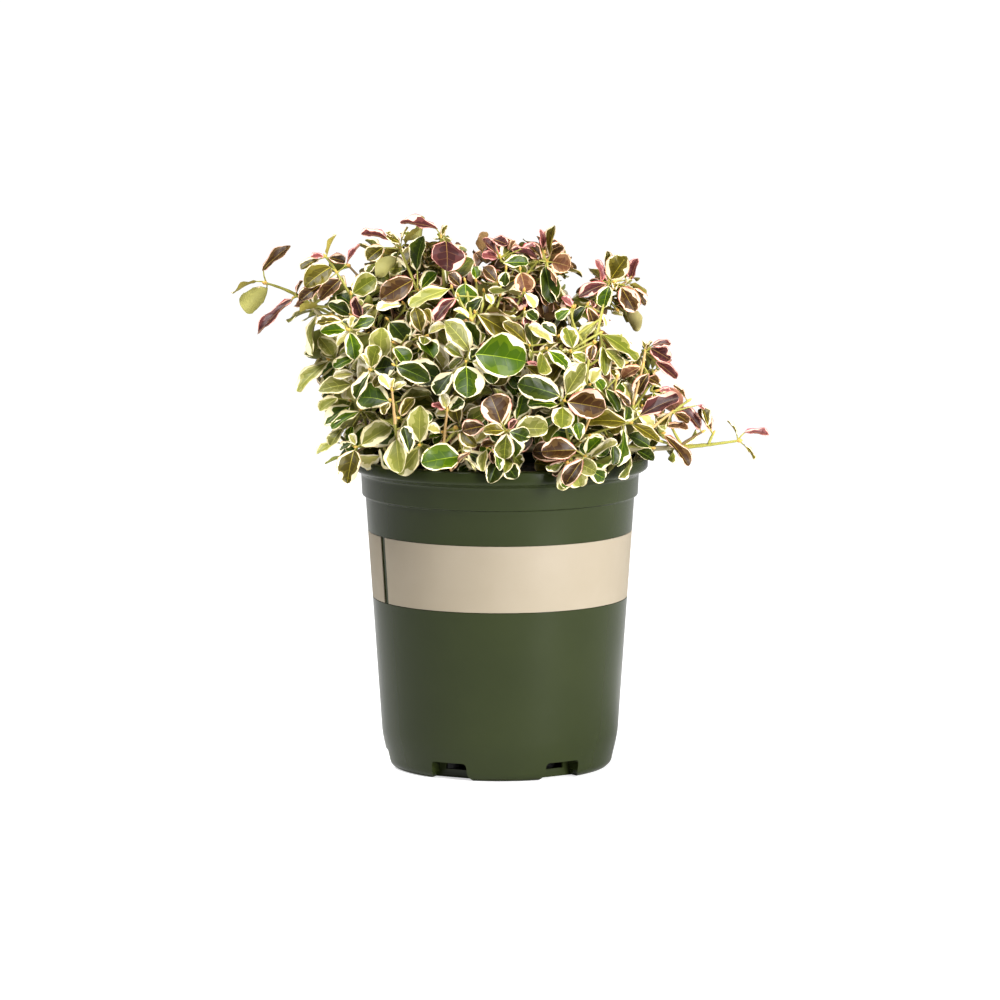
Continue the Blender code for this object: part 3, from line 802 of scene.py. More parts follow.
@dataclass(frozen=True)
class Curve:
    """A quadratic curve that leaves its start towards its bend."""

    start: Vector
    bend: Vector
    end: Vector

    def point(self, share: float) -> Vector:
        """The point at a share of the way."""
        rest = 1.0 - share
        return self.start * rest * rest + self.bend * 2.0 * rest * share + self.end * share * share

    def points(self, count: int) -> list[Vector]:
        """Even steps along the curve."""
        return [self.point(index / (count - 1)) for index in range(count)]

    def along(self, share: float) -> Vector:
        """The way the curve runs at a share of its length."""
        return (self.point(min(share + 0.02, 1.0)) - self.point(share - 0.02)).normalized()

    def length(self) -> float:
        """The length of the curve."""
        points = self.points(9)
        return sum((after - before).length for before, after in zip(points, points[1:]))


class Cells:
    """Each mass's own space: what is nearer to it, by its size, than to any other."""

    def __init__(self) -> None:
        """Works out the planes between the masses."""
        self.planes: dict[str, tuple[np.ndarray, np.ndarray]] = {}
        for mass in MASSES:
            normals, offsets = [], []
            for other in MASSES:
                if other is mass:
                    continue
                between = other.middle - mass.middle
                apart = between.length
                reach = (apart * apart + mass.mean_reach**2 - other.mean_reach**2) / (2.0 * apart)
                normal = between / apart
                normals.append(normal)
                offsets.append(normal.dot(mass.middle) + reach - RULE.cell_margin)
            self.planes[mass.name] = (np.array(normals), np.array(offsets))

    def holds(self, mass: Mass, points: np.ndarray, slack: float = 0.0) -> bool:
        """Whether all points are in a mass's cell.

        Args:
            mass: the mass.
            points: one point a row.
            slack: how far outside is still allowed.

        Returns:
            True if none is outside.
        """
        normals, offsets = self.planes[mass.name]
        return bool(np.all(points @ normals.T <= offsets + slack))

    def owner(self, point: Vector) -> Mass:
        """The mass whose cell a point is in."""
        powers = [(point - mass.middle).length_squared - mass.mean_reach**2 for mass in MASSES]
        return MASSES[powers.index(min(powers))]


class Clearance:
    """Remembers what has grown, and tells whether something new would touch it."""

    STEP = 24.0 * MM

    def __init__(self) -> None:
        """Starts with nothing."""
        self.grid: dict[tuple[int, int, int], list[tuple[BVHTree, int]]] = {}

    def cells(self, points: np.ndarray) -> list[tuple[int, int, int]]:
        """The grid's cells that the points' box covers."""
        low = np.floor(points.min(axis=0) / self.STEP).astype(int)
        high = np.floor(points.max(axis=0) / self.STEP).astype(int)
        return list(itertools.product(*(range(a, b + 1) for a, b in zip(low, high))))

    def keep(self, points: np.ndarray, tree: BVHTree, owner: int) -> None:
        """Remembers a thing, with a number for what it grows on."""
        for cell in self.cells(points):
            self.grid.setdefault(cell, []).append((tree, owner))

    def clear(self, points: np.ndarray, tree: BVHTree, owner: int = -1) -> bool:
        """Whether a new thing touches nothing, apart from what it grows on."""
        seen: set[int] = set()
        for cell in self.cells(points):
            for other, number in self.grid.get(cell, ()):
                if number == owner or id(other) in seen:
                    continue
                seen.add(id(other))
                if tree.overlap(other):
                    return False
        return True


class TwigFinish(Enum):
    """The skins of twigs, leaf stalks and buds."""

    OLD = Finish("twig_old", (122, 98, 58), (0.55, 0.75), relief=(500.0, 2200.0, 0.5), relief_depth=0.12 * MM)
    YOUNG = Finish("twig_young", (158, 154, 66), (0.4, 0.6), relief=(500.0, 2000.0, 0.4), relief_depth=0.08 * MM)
    FLUSHED = Finish("twig_flushed", (192, 156, 98), (0.4, 0.6), relief=(500.0, 2000.0, 0.4), relief_depth=0.08 * MM)
    BUD = Finish("bud", (212, 168, 78), (0.35, 0.5), relief=(700.0, 2400.0, 0.4), relief_depth=0.08 * MM)


TWIG_FINISHES = list(TwigFinish)


@dataclass(frozen=True)
class Blade:
    """One listed leaf.

    The tip, and a root away from the sprig's node, are places in the photograph's frame in pixels,
    across and down, and only turn and place the leaf. Length, width and margin are its real sizes in
    millimetres. Show is the share of its width that is seen, below 0 from underneath.
    """

    tip: tuple[float, float]
    length: float
    width: float
    tint: Tint
    show: float = 0.9
    root: tuple[float, float] | None = None
    ahead: float = 0.0
    lean: float = 12.0
    margin: float = 0.85
    splash: int = 0


@dataclass(frozen=True)
class Sprig:
    """Listed leaves round one node.

    The node, and the far end of a stem that shows, are places in the photograph's frame in pixels.
    Depth is how far in front of the pot's axis the node stands, in millimetres.
    """

    node: tuple[float, float]
    depth: float
    blades: tuple[Blade, ...]
    stem: tuple[float, float, float] | None = None
    finish: TwigFinish = TwigFinish.YOUNG


LEFT_SPRIGS = (
    Sprig((266, 282), 9, (
        Blade((292, 245), 22, 10, Tint.BRONZE, 0.6, (262, 271), margin=0.25),
        Blade((232, 294), 16, 9, Tint.OLIVE, -0.2, (257, 281)),
        Blade((239, 315), 19, 14, Tint.JADE, -0.95, (268, 288)),
    )),
    Sprig((295, 297), 12, (
        Blade((258, 334), 29, 9, Tint.PURPLE, 0.6, margin=0.4),
        Blade((303, 281), 9, 6, Tint.BRONZE, 0.3),
    ), (338, 284, 26)),
    Sprig((337, 273), 30, (
        Blade((303, 288), 19, 14, Tint.OLIVE, 0.9, (331, 267), margin=0.4),
        Blade((298, 303), 16, 9, Tint.BRONZE, 0.85, (321, 285), 4, margin=0.4),
        Blade((319, 301), 17, 11, Tint.BRONZE, 0.9, (341, 279), 2, margin=0.5),
        Blade((361, 244), 14, 8, Tint.ROSE, 0.3, (346, 265)),
    ), (352, 298, 32)),
    Sprig((326, 257), 26, (
        Blade((311, 257), 7.5, 7, Tint.ROSE, 0.5),
        Blade((344, 262), 10, 9, Tint.BRONZE, 0.7),
        Blade((337, 233), 13, 8, Tint.OLIVE, -0.15),
        Blade((305, 267), 12, 9, Tint.OLIVE, 0.6, (319, 259)),
    ), (337, 273, 29)),
    Sprig((333, 315), 24, (
        Blade((298, 312), 11, 9, Tint.OLIVE, -0.5, (318, 306)),
        Blade((313, 358), 24, 10, Tint.LIME, 0.45, (317, 314)),
        Blade((335, 358), 13, 12, Tint.LIME, 0.9, (319, 337)),
    ), (350, 322, 24)),
    Sprig((352, 316), 36, (Blade((327, 303), 14, 10, Tint.DEEP, margin=0.4),)),
    Sprig((351, 295), 33, (Blade((376, 278), 16, 14, Tint.JADE, 0.95),), (352, 312, 32)),
    Sprig((349, 330), 54, (
        Blade((355, 361), 16, 11, Tint.FRESH, 0.95, margin=1.35),
        Blade((374, 320), 14.5, 9, Tint.FRESH, 0.8, margin=1),
        Blade((319, 332), 15, 11, Tint.FRESH, 0.85, margin=1.3),
        Blade((312, 324), 15, 8, Tint.OLIVE, 0.8, (342, 321), margin=1.55),
        Blade((354, 318), 7, 6, Tint.IVORY, 0.7),
    )),
    Sprig((330, 360), 22, (
        Blade((297, 391), 25, 11, Tint.LIME, 0.75),
        Blade((316, 391), 19, 12, Tint.LIME, 0.85, (351, 384), 14),
        Blade((331, 369), 13, 9, Tint.FRESH, 0.8, (354, 358), 13),
        Blade((333, 377), 12, 7, Tint.IVORY, 0.8, (354, 374), 24),
    )),
    Sprig((352, 401), 32, (
        Blade((318, 412), 13, 9, Tint.LIME, 0.8, (338, 398)),
        Blade((322, 427), 18.5, 11, Tint.FRESH, 0.85, (350, 406), 6, margin=1.7),
    )),
    Sprig((362, 410), 42, (
        Blade((330, 430), 19, 9, Tint.FRESH, 0.75),
        Blade((330, 447), 13, 9, Tint.LIME, 0.8, (343, 428)),
        Blade((348, 441), 9, 7, Tint.FRESH, 0.8, (352, 426), 3, margin=0.35),
        Blade((376, 422), 10, 8, Tint.LIME, 0.7, ahead=2),
    )),
    Sprig((357, 447), 58, (
        Blade((391, 426), 20, 15, Tint.LIME, 0.95, (361, 445), 1, margin=1.85, splash=1),
        Blade((347, 485), 19.5, 15.5, Tint.OLIVE, 0.95, (354, 450), 3, margin=1.1),
        Blade((315, 455), 14, 8, Tint.LIME, 0.6, (337, 442), -14),
        Blade((350, 436), 7, 6, Tint.IVORY, 0.8),
        Blade((340, 450), 8, 7, Tint.DEEP, 0.7, (352, 443), -5),
    )),
    Sprig((371, 370), 66, (
        Blade((378, 346), 13, 12, Tint.JADE, 0.85, margin=1),
        Blade((395, 366), 12.5, 13, Tint.DEEP, 0.9, margin=1),
        Blade((355, 400), 17.5, 9, Tint.DEEP, 0.85, margin=1.85),
        Blade((360, 351), 9, 6, Tint.IVORY, 0.6),
        Blade((382, 326), 18, 14, Tint.LIME, 0.95, (381, 359), -7, margin=0.7),
    )),
    Sprig((394, 365), 75, (Blade((430, 381), 21, 13, Tint.DEEP, 0.95, margin=0.85),)),
    Sprig((388, 320), 52, (Blade((408, 343), 15.5, 14, Tint.DEEP, 0.95, margin=0.85),)),
)
CENTRE_SPRIGS = (
    Sprig((392, 391), 79, (
        Blade((379, 377), 10, 8, Tint.IVORY, 0.8),
        Blade((405, 384), 8, 6, Tint.IVORY, 0.7),
        Blade((394, 380), 6, 5, Tint.IVORY, 0.6),
    ), (395, 424, 77), TwigFinish.FLUSHED),
    Sprig((391, 400), 72, (Blade((384, 413), 8, 7, Tint.OLIVE, 0.8),)),
    Sprig((399, 418), 76, (Blade((416, 397), 13, 8, Tint.OLIVE, 0.85),)),
    Sprig((420, 445), 79, (
        Blade((421, 402), 21, 14, Tint.LIME, 0.9, margin=1.1),
        Blade((403, 423), 16, 9.5, Tint.DEEP, 0.85, (409, 454), 3, margin=1.55),
    )),
    Sprig((463, 456), 86, (
        Blade((421, 463), 22.5, 17.5, Tint.FRESH, 0.95, margin=0.95),
        Blade((447, 476), 16, 6, Tint.COPPER, 0.4, (471, 452), 2),
        Blade((477, 473), 10, 4, Tint.LIME, 0.3),
    )),
    Sprig((447, 411), 82, (
        Blade((432, 405), 8, 6, Tint.ROSE, 0.6),
        Blade((441, 395), 9, 8, Tint.IVORY, 0.8),
        Blade((462, 403), 10, 9.5, Tint.DEEP, 0.85, margin=1.55),
    ), (444, 442, 80), TwigFinish.FLUSHED),
    Sprig((443, 432), 78, (
        Blade((426, 428), 8, 8, Tint.IVORY, 0.8),
        Blade((463, 428), 10, 8, Tint.JADE, 0.7),
    )),
    Sprig((507, 431), 92, (
        Blade((490, 395), 17, 19, Tint.BRONZE, 0.95, (501, 424), margin=1.2, splash=-1),
        Blade((461, 431), 13, 11, Tint.BRONZE, 0.9, (485, 426), -2),
        Blade((479, 432), 12, 9, Tint.OLIVE, 0.85, ahead=3, margin=0.5),
        Blade((504, 463), 14.5, 12, Tint.JADE, 0.95, ahead=3, margin=1),
        Blade((536, 441), 12, 10, Tint.DEEP, ahead=5, margin=0.4),
        Blade((549, 429), 18.5, 15, Tint.LIME, 0.9, (515, 429), 1, margin=1.1),
        Blade((520, 417), 7, 6, Tint.PURPLE, 0.7, ahead=3),
    )),
    Sprig((487, 447), 86, (
        Blade((483, 472), 12.5, 8, Tint.LIME, 0.8),
        Blade((500, 473), 10.5, 7, Tint.FRESH, 0.8, (495, 453)),
    )),
    Sprig((466, 362), 86, (
        Blade((528, 362), 29, 27, Tint.FRESH, 0.95, (475, 354), 2, margin=0.95),
        Blade((467, 399), 18, 19.5, Tint.FRESH, 0.95, (466, 366), 2, margin=1.6, splash=-1),
        Blade((436, 395), 16, 12, Tint.DEEP, 0.85, (453, 372), -6, margin=1.7),
        Blade((444, 320), 22, 15, Tint.LIME, 0.85, (470, 351), -8, margin=1.2, splash=1),
    ), finish=TwigFinish.FLUSHED),
    Sprig((564, 401), 85, (
        Blade((515, 383), 25, 15.5, Tint.DEEP, 0.95, (560, 396), margin=1.2),
        Blade((588, 361), 21, 13, Tint.LIME, 0.9, (566, 395), margin=1.35),
        Blade((607, 409), 22, 19, Tint.BRONZE, 0.95, (567, 402), 1, margin=1.2),
        Blade((525, 405), 18, 10, Tint.FRESH, 0.7, (559, 405), -4),
    )),
    Sprig((589, 385), 70, (Blade((600, 370), 10, 9, Tint.IVORY, 0.8),)),
    Sprig((546, 349), 72, (Blade((570, 370), 16.5, 9, Tint.FRESH, 0.85, margin=1.6),)),
    Sprig((524, 362), 80, (Blade((536, 365), 6, 4, Tint.ROSE, 0.6),)),
    Sprig((570, 352), 66, (Blade((588, 363), 9, 8, Tint.JADE, 0.8),)),
    Sprig((584, 456), 84, (
        Blade((538, 452), 20, 15, Tint.BRONZE, 0.95, (577, 450), margin=0.75, splash=1),
        Blade((564, 487), 18, 11, Tint.BRONZE, 0.95, (583, 459), 4, margin=1.2),
        Blade((606, 433), 13, 10, Tint.FRESH, 0.85, margin=1.6),
        Blade((621, 440), 18, 9, Tint.IVORY, 0.6, (590, 458), 1),
        # This leaf's thin cream margin is painted shade near the pot's rim; its dark green is the DEEP leaves' own
        # colour.
        Blade((613, 468), 13, 9, Tint.DEEP, 0.7, (612, 442), -3, margin=0.4),
    )),
    Sprig((580, 443), 76, (Blade((576, 421), 10, 9, Tint.FRESH, 0.8),)),
)
RIGHT_SPRIGS = (
    Sprig((630, 423), 64, (
        Blade((583, 422), 23.5, 13, Tint.OLIVE, 0.75, margin=0.5),
        Blade((682, 396), 25, 13, Tint.PURPLE, 0.75, (639, 416), margin=0.7),
        Blade((664, 445), 18.5, 9, Tint.OLIVE, 0.75, margin=0.5),
    )),
    # Both leaves keep almost no cream margin so that they read dark: painted shade where they sit under the crown.
    Sprig((652, 448), 54, (
        Blade((626, 434), 14, 10, Tint.DEEP, 0.8, margin=0.2),
        Blade((656, 462), 11, 9, Tint.DEEP, 0.8, (637, 451), 3, margin=0.25),
    )),
    Sprig((645, 352), 22, (
        Blade((641, 337), 6, 4, Tint.OLIVE, 0.6),
        Blade((656, 337), 6, 4, Tint.OLIVE, 0.5),
        Blade((671, 344), 11, 6, Tint.PURPLE, 0.8, (652, 345)),
        Blade((672, 361), 13.5, 10, Tint.PURPLE, 0.9, (650, 348)),
        Blade((677, 379), 16, 8, Tint.PURPLE, 0.85, (655, 361)),
        Blade((662, 360), 4, 4, Tint.ROSE, 0.8, (653, 355), 2),
    ), (643, 367, 24), TwigFinish.FLUSHED),
    Sprig((643, 366), 25, (
        Blade((621, 379), 13, 9, Tint.COPPER, 0.8),
        Blade((636, 395), 14, 9.5, Tint.BRONZE, 0.9, (649, 373), 2),
        Blade((659, 384), 7, 7, Tint.BRONZE, 0.9, (648, 378), margin=0.4),
    ), (633, 405, 34), TwigFinish.FLUSHED),
    Sprig((600, 333), 44, (
        Blade((637, 360), 25, 12, Tint.JADE, 0.7, margin=0.4),
        Blade((623, 369), 15, 9, Tint.LIME, 0.8, (605, 349), 4),
        Blade((605, 379), 17, 9, Tint.JADE, 0.8, (602, 346), 3, margin=0.85),
        Blade((629, 361), 7, 6, Tint.DEEP, 0.7, (617, 353), 5),
    ), (568, 352, 56)),
    Sprig((617, 378), 56, (
        Blade((621, 416), 15, 8, Tint.DEEP, 0.8, (605, 389), margin=0.4),
        Blade((633, 411), 13, 7, Tint.BRONZE, 0.6, (614, 390)),
    ), (612, 398, 54), TwigFinish.FLUSHED),
    Sprig((702, 432), 19, (Blade((682, 409), 16, 10, Tint.PURPLE, 0.75),), (678, 447, 18), TwigFinish.OLD),
    Sprig((672, 412), 30, (
        Blade((690, 424), 10, 8, Tint.BRONZE, 0.7, margin=0.4),
        Blade((692, 429), 13, 7, Tint.COPPER, 0.6, (666, 426), 2),
        Blade((655, 430), 9, 8, Tint.OLIVE, 0.8),
        Blade((708, 412), 5, 4, Tint.ROSE, 0.6, (697, 405)),
    ), (650, 430, 44), TwigFinish.FLUSHED),
    Sprig((688, 401), 27, (Blade((674, 386), 11, 6, Tint.BRONZE, 0.4),), (673, 413, 29)),
    Sprig((656, 391), 38, (Blade((669, 391), 7, 5, Tint.ROSE, 0.7),)),
    Sprig((662, 433), 32, (Blade((692, 470), 23, 10, Tint.BRONZE, 0.7, margin=0.6),)),
    Sprig((713, 434), 18, (
        Blade((697, 408), 15, 9, Tint.BRONZE, 0.7, margin=0.4),
        Blade((701, 404), 12, 8, Tint.OLIVE, 0.7, (708, 426), 2),
    ), (709, 443, 18)),
    Sprig((738, 440), 18, (
        Blade((725, 418), 10, 5, Tint.OLIVE, 0.3, (737, 435)),
        Blade((770, 435), 14.5, 7, Tint.ROSE, 0.6, (744, 432)),
        Blade((755, 461), 11.5, 6, Tint.OLIVE, 0.35, (743, 444)),
    )),
)
TOP_SPRIGS = (
    Sprig((400, 249), 30, (
        Blade((360, 234), 17, 9, Tint.PURPLE, 0.55, (390, 240)),
        Blade((366, 261), 12.5, 11, Tint.OLIVE, 0.9, (384, 247)),
        Blade((376, 276), 16, 12, Tint.LIME, -0.85, (397, 258), -4),
        Blade((421, 228), 12, 8, Tint.OLIVE, -0.35, (405, 244)),
        Blade((385, 232), 6, 4, Tint.OLIVE, 0.6, (394, 238)),
        Blade((409, 226), 10, 4, Tint.OLIVE, 0.2, (401, 243)),
        Blade((388, 237), 9, 6, Tint.OLIVE, 0.8, (400, 243)),
    ), (417, 290, 36)),
    Sprig((441, 238), 32, (
        Blade((398, 222), 22, 12, Tint.PURPLE, 0.5, (438, 229), margin=0.6),
        Blade((447, 271), 20, 20, Tint.PURPLE, 0.95, (446, 241), 3, 32.0, 0.35),
        Blade((447, 225), 7, 5, Tint.OLIVE, 0.7, (442, 236)),
    ), (444, 284, 38)),
    Sprig((418, 291), 37, (
        Blade((424, 235), 20.5, 12, Tint.DEEP, 0.75, (417, 271), margin=0.75),
        Blade((441, 268), 13, 10, Tint.FRESH, 0.85, (421, 289)),
        Blade((380, 300), 21.5, 14.5, Tint.BRONZE, 0.95, (413, 280), 3, margin=0.35),
        Blade((399, 313), 13.5, 8, Tint.DEEP, 0.6, (411, 291), 3, margin=0.5),
    )),
    Sprig((452, 288), 46, (Blade((408, 306), 25, 11, Tint.LIME, 0.75, margin=0.7),)),
    Sprig((404, 304), 46, (
        Blade((376, 310), 14.5, 9, Tint.IVORY, 0.7, margin=2.55),
        Blade((359, 315), 9, 7, Tint.OLIVE, 0.6, (374, 305), -2),
    )),
    Sprig((547, 262), 18, (
        Blade((540, 229), 11.5, 7, Tint.ROSE, 0.7, (542, 249)),
        Blade((555, 224), 18.5, 10, Tint.OLIVE, 0.5, (550, 257), 2),
        Blade((571, 267), 11, 14, Tint.COPPER, 0.9, (552, 262)),
        Blade((510, 249), 17.5, 9, Tint.PURPLE, 0.5, (540, 261), 1),
        Blade((551, 304), 21.5, 13, Tint.DEEP, 0.95, (545, 266), 3, margin=0.35),
        Blade((557, 289), 13, 6, Tint.COPPER, 0.4, (547, 266), 7),
        Blade((562, 305), 11, 9, Tint.OLIVE, 0.8, (551, 286), 5),
    )),
    Sprig((500, 258), 25, (
        Blade((482, 239), 13.5, 8, Tint.PURPLE, 0.7, margin=0.7),
        Blade((508, 245), 9.5, 8, Tint.PURPLE, 0.8, (492, 239), margin=0.7),
        Blade((482, 256), 9, 8, Tint.ROSE, 0.7),
        Blade((531, 263), 14.5, 10, Tint.FRESH, 0.75, (503, 263), 3),
        Blade((515, 241), 7, 5, Tint.COPPER, 0.7, (509, 251)),
        Blade((536, 246), 8.5, 5, Tint.ROSE, 0.6, (521, 249)),
    )),
    Sprig((498, 284), 38, (Blade((482, 266), 11, 9, Tint.BRONZE, 0.85, margin=0.4),)),
    Sprig((506, 269), 38, (Blade((505, 285), 8.5, 8, Tint.DEEP),)),
    Sprig((520, 270), 38, (Blade((525, 291), 11.5, 13, Tint.COPPER, 0.95, margin=0.7),)),
    Sprig((524, 291), 44, (Blade((535, 308), 10, 8, Tint.IVORY, 0.85),)),
    Sprig((524, 310), 50, (Blade((537, 320), 8, 8, Tint.DEEP),)),
    Sprig((500, 296), 46, (Blade((520, 312), 12, 6, Tint.BRONZE, 0.5),)),
    Sprig((484, 292), 48, (Blade((493, 305), 7, 6, Tint.IVORY, 0.8),)),
    Sprig((465, 281), 44, (Blade((466, 303), 12, 14, Tint.FRESH, 0.95),)),
    Sprig((476, 282), 40, (Blade((474, 268), 7.5, 8, Tint.FRESH, 0.8),)),
    Sprig((462, 288), 41, (Blade((448, 274), 9.5, 9, Tint.BRONZE, 0.8),)),
    Sprig((458, 296), 54, (
        Blade((434, 322), 18, 10, Tint.PURPLE, 0.8, margin=1.1, splash=1),
        Blade((467, 318), 13, 9, Tint.DEEP, 0.8, (483, 297), margin=0.5),
    )),
    Sprig((475, 313), 60, (Blade((521, 342), 28.5, 16, Tint.OLIVE, 0.85, margin=0.75),)),
    Sprig((529, 346), 65, (
        Blade((502, 322), 18.5, 11, Tint.OLIVE, 0.7, ahead=2, margin=0.5),
        Blade((527, 326), 17, 9, Tint.IVORY, 0.7, (553, 343)),
        Blade((531, 362), 8, 5, Tint.LIME, 0.6),
    )),
    Sprig((609, 282), 12, (
        Blade((627, 256), 16.5, 15.5, Tint.OLIVE, 0.95, margin=1.7),
        Blade((638, 259), 13, 9, Tint.ROSE, 0.7, (631, 280), -4),
        Blade((595, 259), 13.5, 8, Tint.ROSE, 0.6, (602, 282)),
        Blade((607, 251), 11, 7, Tint.OLIVE, 0.8, (607, 270), -3),
        Blade((577, 298), 18, 10, Tint.PURPLE, 0.8, (607, 284), 2),
        Blade((603, 310), 13, 10.5, Tint.FRESH, 0.9, (609, 286), 8, margin=0.75),
        Blade((636, 314), 16.5, 13, Tint.BRONZE, 0.95, (621, 287), 2, margin=1.7),
        Blade((645, 306), 12, 8, Tint.BRONZE, 0.7, (634, 288)),
        Blade((633, 280), 4.5, 4, Tint.LIME, 0.7, (626, 285)),
        Blade((638, 332), 15, 9.5, Tint.IVORY, -0.85, (629, 307), -3),
        Blade((624, 316), 7, 5, Tint.IVORY, 0.7, (611, 313), -2),
    ), (596, 338, 38)),
    Sprig((587, 305), 24, (
        Blade((594, 326), 11.5, 8, Tint.BRONZE, 0.85, margin=0.7),
        Blade((571, 326), 14, 9, Tint.DEEP, 0.7, margin=0.3),
        Blade((606, 328), 8, 5, Tint.IVORY, 0.7, (603, 314), 2),
    )),
    Sprig((599, 320), 30, (Blade((578, 341), 14, 9, Tint.LIME, 0.8),), (560, 347, 52)),
    Sprig((574, 308), 28, (Blade((561, 297), 8, 7, Tint.ROSE, 0.7),)),
    Sprig((572, 308), 38, (Blade((556, 321), 9.5, 8, Tint.FRESH, 0.8),)),
    Sprig((558, 337), 52, (Blade((541, 324), 10.5, 8, Tint.DEEP, 0.8),)),
)
SPRIGS = LEFT_SPRIGS + CENTRE_SPRIGS + RIGHT_SPRIGS + TOP_SPRIGS


class Growth(Enum):
    """What grows on a twig."""

    FULL = "leaves and side shoots"
    LEAVES = "leaves away from its tip"
    BARE = "nothing"


@dataclass
class Twig:
    """A curve that carries leaves, in its mass."""

    mass: Mass
    line: Curve
    number: int
    radius: float
    tip_radius: float
    finish: TwigFinish
    bare_root: float = 2.0 * MM
    growth: Growth = Growth.FULL
    bud: bool = True

    def coarse(self) -> tuple[np.ndarray, BVHTree]:
        """A plain tube of the twig, for overlap tests."""
        radii = np.linspace(self.radius, self.tip_radius, 5)
        vertices, quads, triangles = ring_mesh(self.line.points(5), radii, 4)
        faces = [tuple(face) for face in quads] + [tuple(face) for face in triangles]
        return vertices, tree_of(vertices, faces)


@dataclass
class Leaf:
    """One leaf as it grew."""

    form: LeafForm
    pose: Pose
    tint: Tint
    shade: int
    stalk: Vector


@dataclass(frozen=True)
class Opening:
    """A place where the photograph shows sky, or the pot's collar, free of leaves, in pixels."""

    across: float
    down: float
    radius: float


OPENINGS = (
    Opening(463, 230, 17),
    Opening(624, 334, 12),
    Opening(634, 347, 8),
    Opening(357, 258, 12),
    Opening(353, 275, 9),
    Opening(345, 248, 8),
    Opening(663, 378, 9),
    Opening(690, 457, 10),
    Opening(569, 285, 9),
    Opening(314, 395, 9),
    Opening(301, 328, 9),
    Opening(298, 371, 9),
    Opening(519, 229, 12),
    Opening(654, 484, 14),
    Opening(677, 472, 9),
    Opening(643, 477, 8),
    Opening(646, 393, 6),
    Opening(424, 206, 8),
    Opening(677, 438, 5),
    Opening(649, 282, 9),
    Opening(575, 251, 10),
    Opening(610, 328, 6),
    Opening(430, 235, 6),
    Opening(372, 494, 12),
    Opening(386, 488, 14),
    Opening(405, 490, 14),
    Opening(427, 493, 14),
    Opening(455, 498, 14),
    Opening(483, 498, 14),
    Opening(520, 496, 18),
    Opening(548, 500, 14),
    Opening(600, 500, 16),
    Opening(629, 492, 17),
)


class Sight:
    """Keeps what grows by rule from hiding the leaves, and the sky, that the photograph shows."""

    def __init__(self) -> None:
        """Starts with no leaves."""
        self.middles: list[tuple[float, float, float]] = []
        self.axes: list[tuple[float, float, float, float]] = []

    def add(self, hull: np.ndarray) -> None:
        """Remembers a seen leaf by the hull of its face."""
        middle, axes = self.ellipse(hull)
        self.middles.append(middle)
        self.axes.append(axes)

    @staticmethod
    def ellipse(hull: np.ndarray) -> tuple[tuple[float, ...], tuple[float, ...]]:
        """The ellipse that a leaf covers in the photograph's frame.

        Args:
            hull: the points of its face, root and tip first.

        Returns:
            The middle with its distance, then the way across and down and the two half axes.
        """
        seen = CAMERA.pixels_of(hull)
        middle = seen.mean(axis=0)
        run = seen[1, :2] - seen[0, :2]
        length = max(float(np.hypot(*run)), 4.0)
        way = run / length
        across = (seen[:, :2] - middle[:2]) @ np.array((-way[1], way[0]))
        return tuple(middle), (way[0], way[1], length / 2.0, max(float(np.abs(across).max()), 2.0))

    def shuts(self, hull: np.ndarray) -> bool:
        """Whether a leaf would reach into an opening."""
        middle, (over, under, half_length, half_width) = self.ellipse(hull)
        for opening in OPENINGS:
            right, down = opening.across - middle[0], opening.down - middle[1]
            along = (right * over + down * under) / (half_length + opening.radius)
            across = (down * over - right * under) / (half_width + opening.radius)
            if along**2 + across**2 < 0.85:
                return True
        return False

    def hides(self, points: np.ndarray) -> bool:
        """Whether any point stands in front of a seen leaf."""
        if not self.middles:
            return False
        seen = CAMERA.pixels_of(points)
        middles = np.array(self.middles)
        axes = np.array(self.axes)
        apart = seen[:, None, :2] - middles[None, :, :2]
        along = apart[..., 0] * axes[:, 0] + apart[..., 1] * axes[:, 1]
        across = apart[..., 1] * axes[:, 0] - apart[..., 0] * axes[:, 1]
        inside = (along / axes[:, 2]) ** 2 + (across / axes[:, 3]) ** 2 < 0.85
        nearer = seen[:, None, 2] < middles[None, :, 2] + 1.0 * MM
        return bool(np.any(inside & nearer))


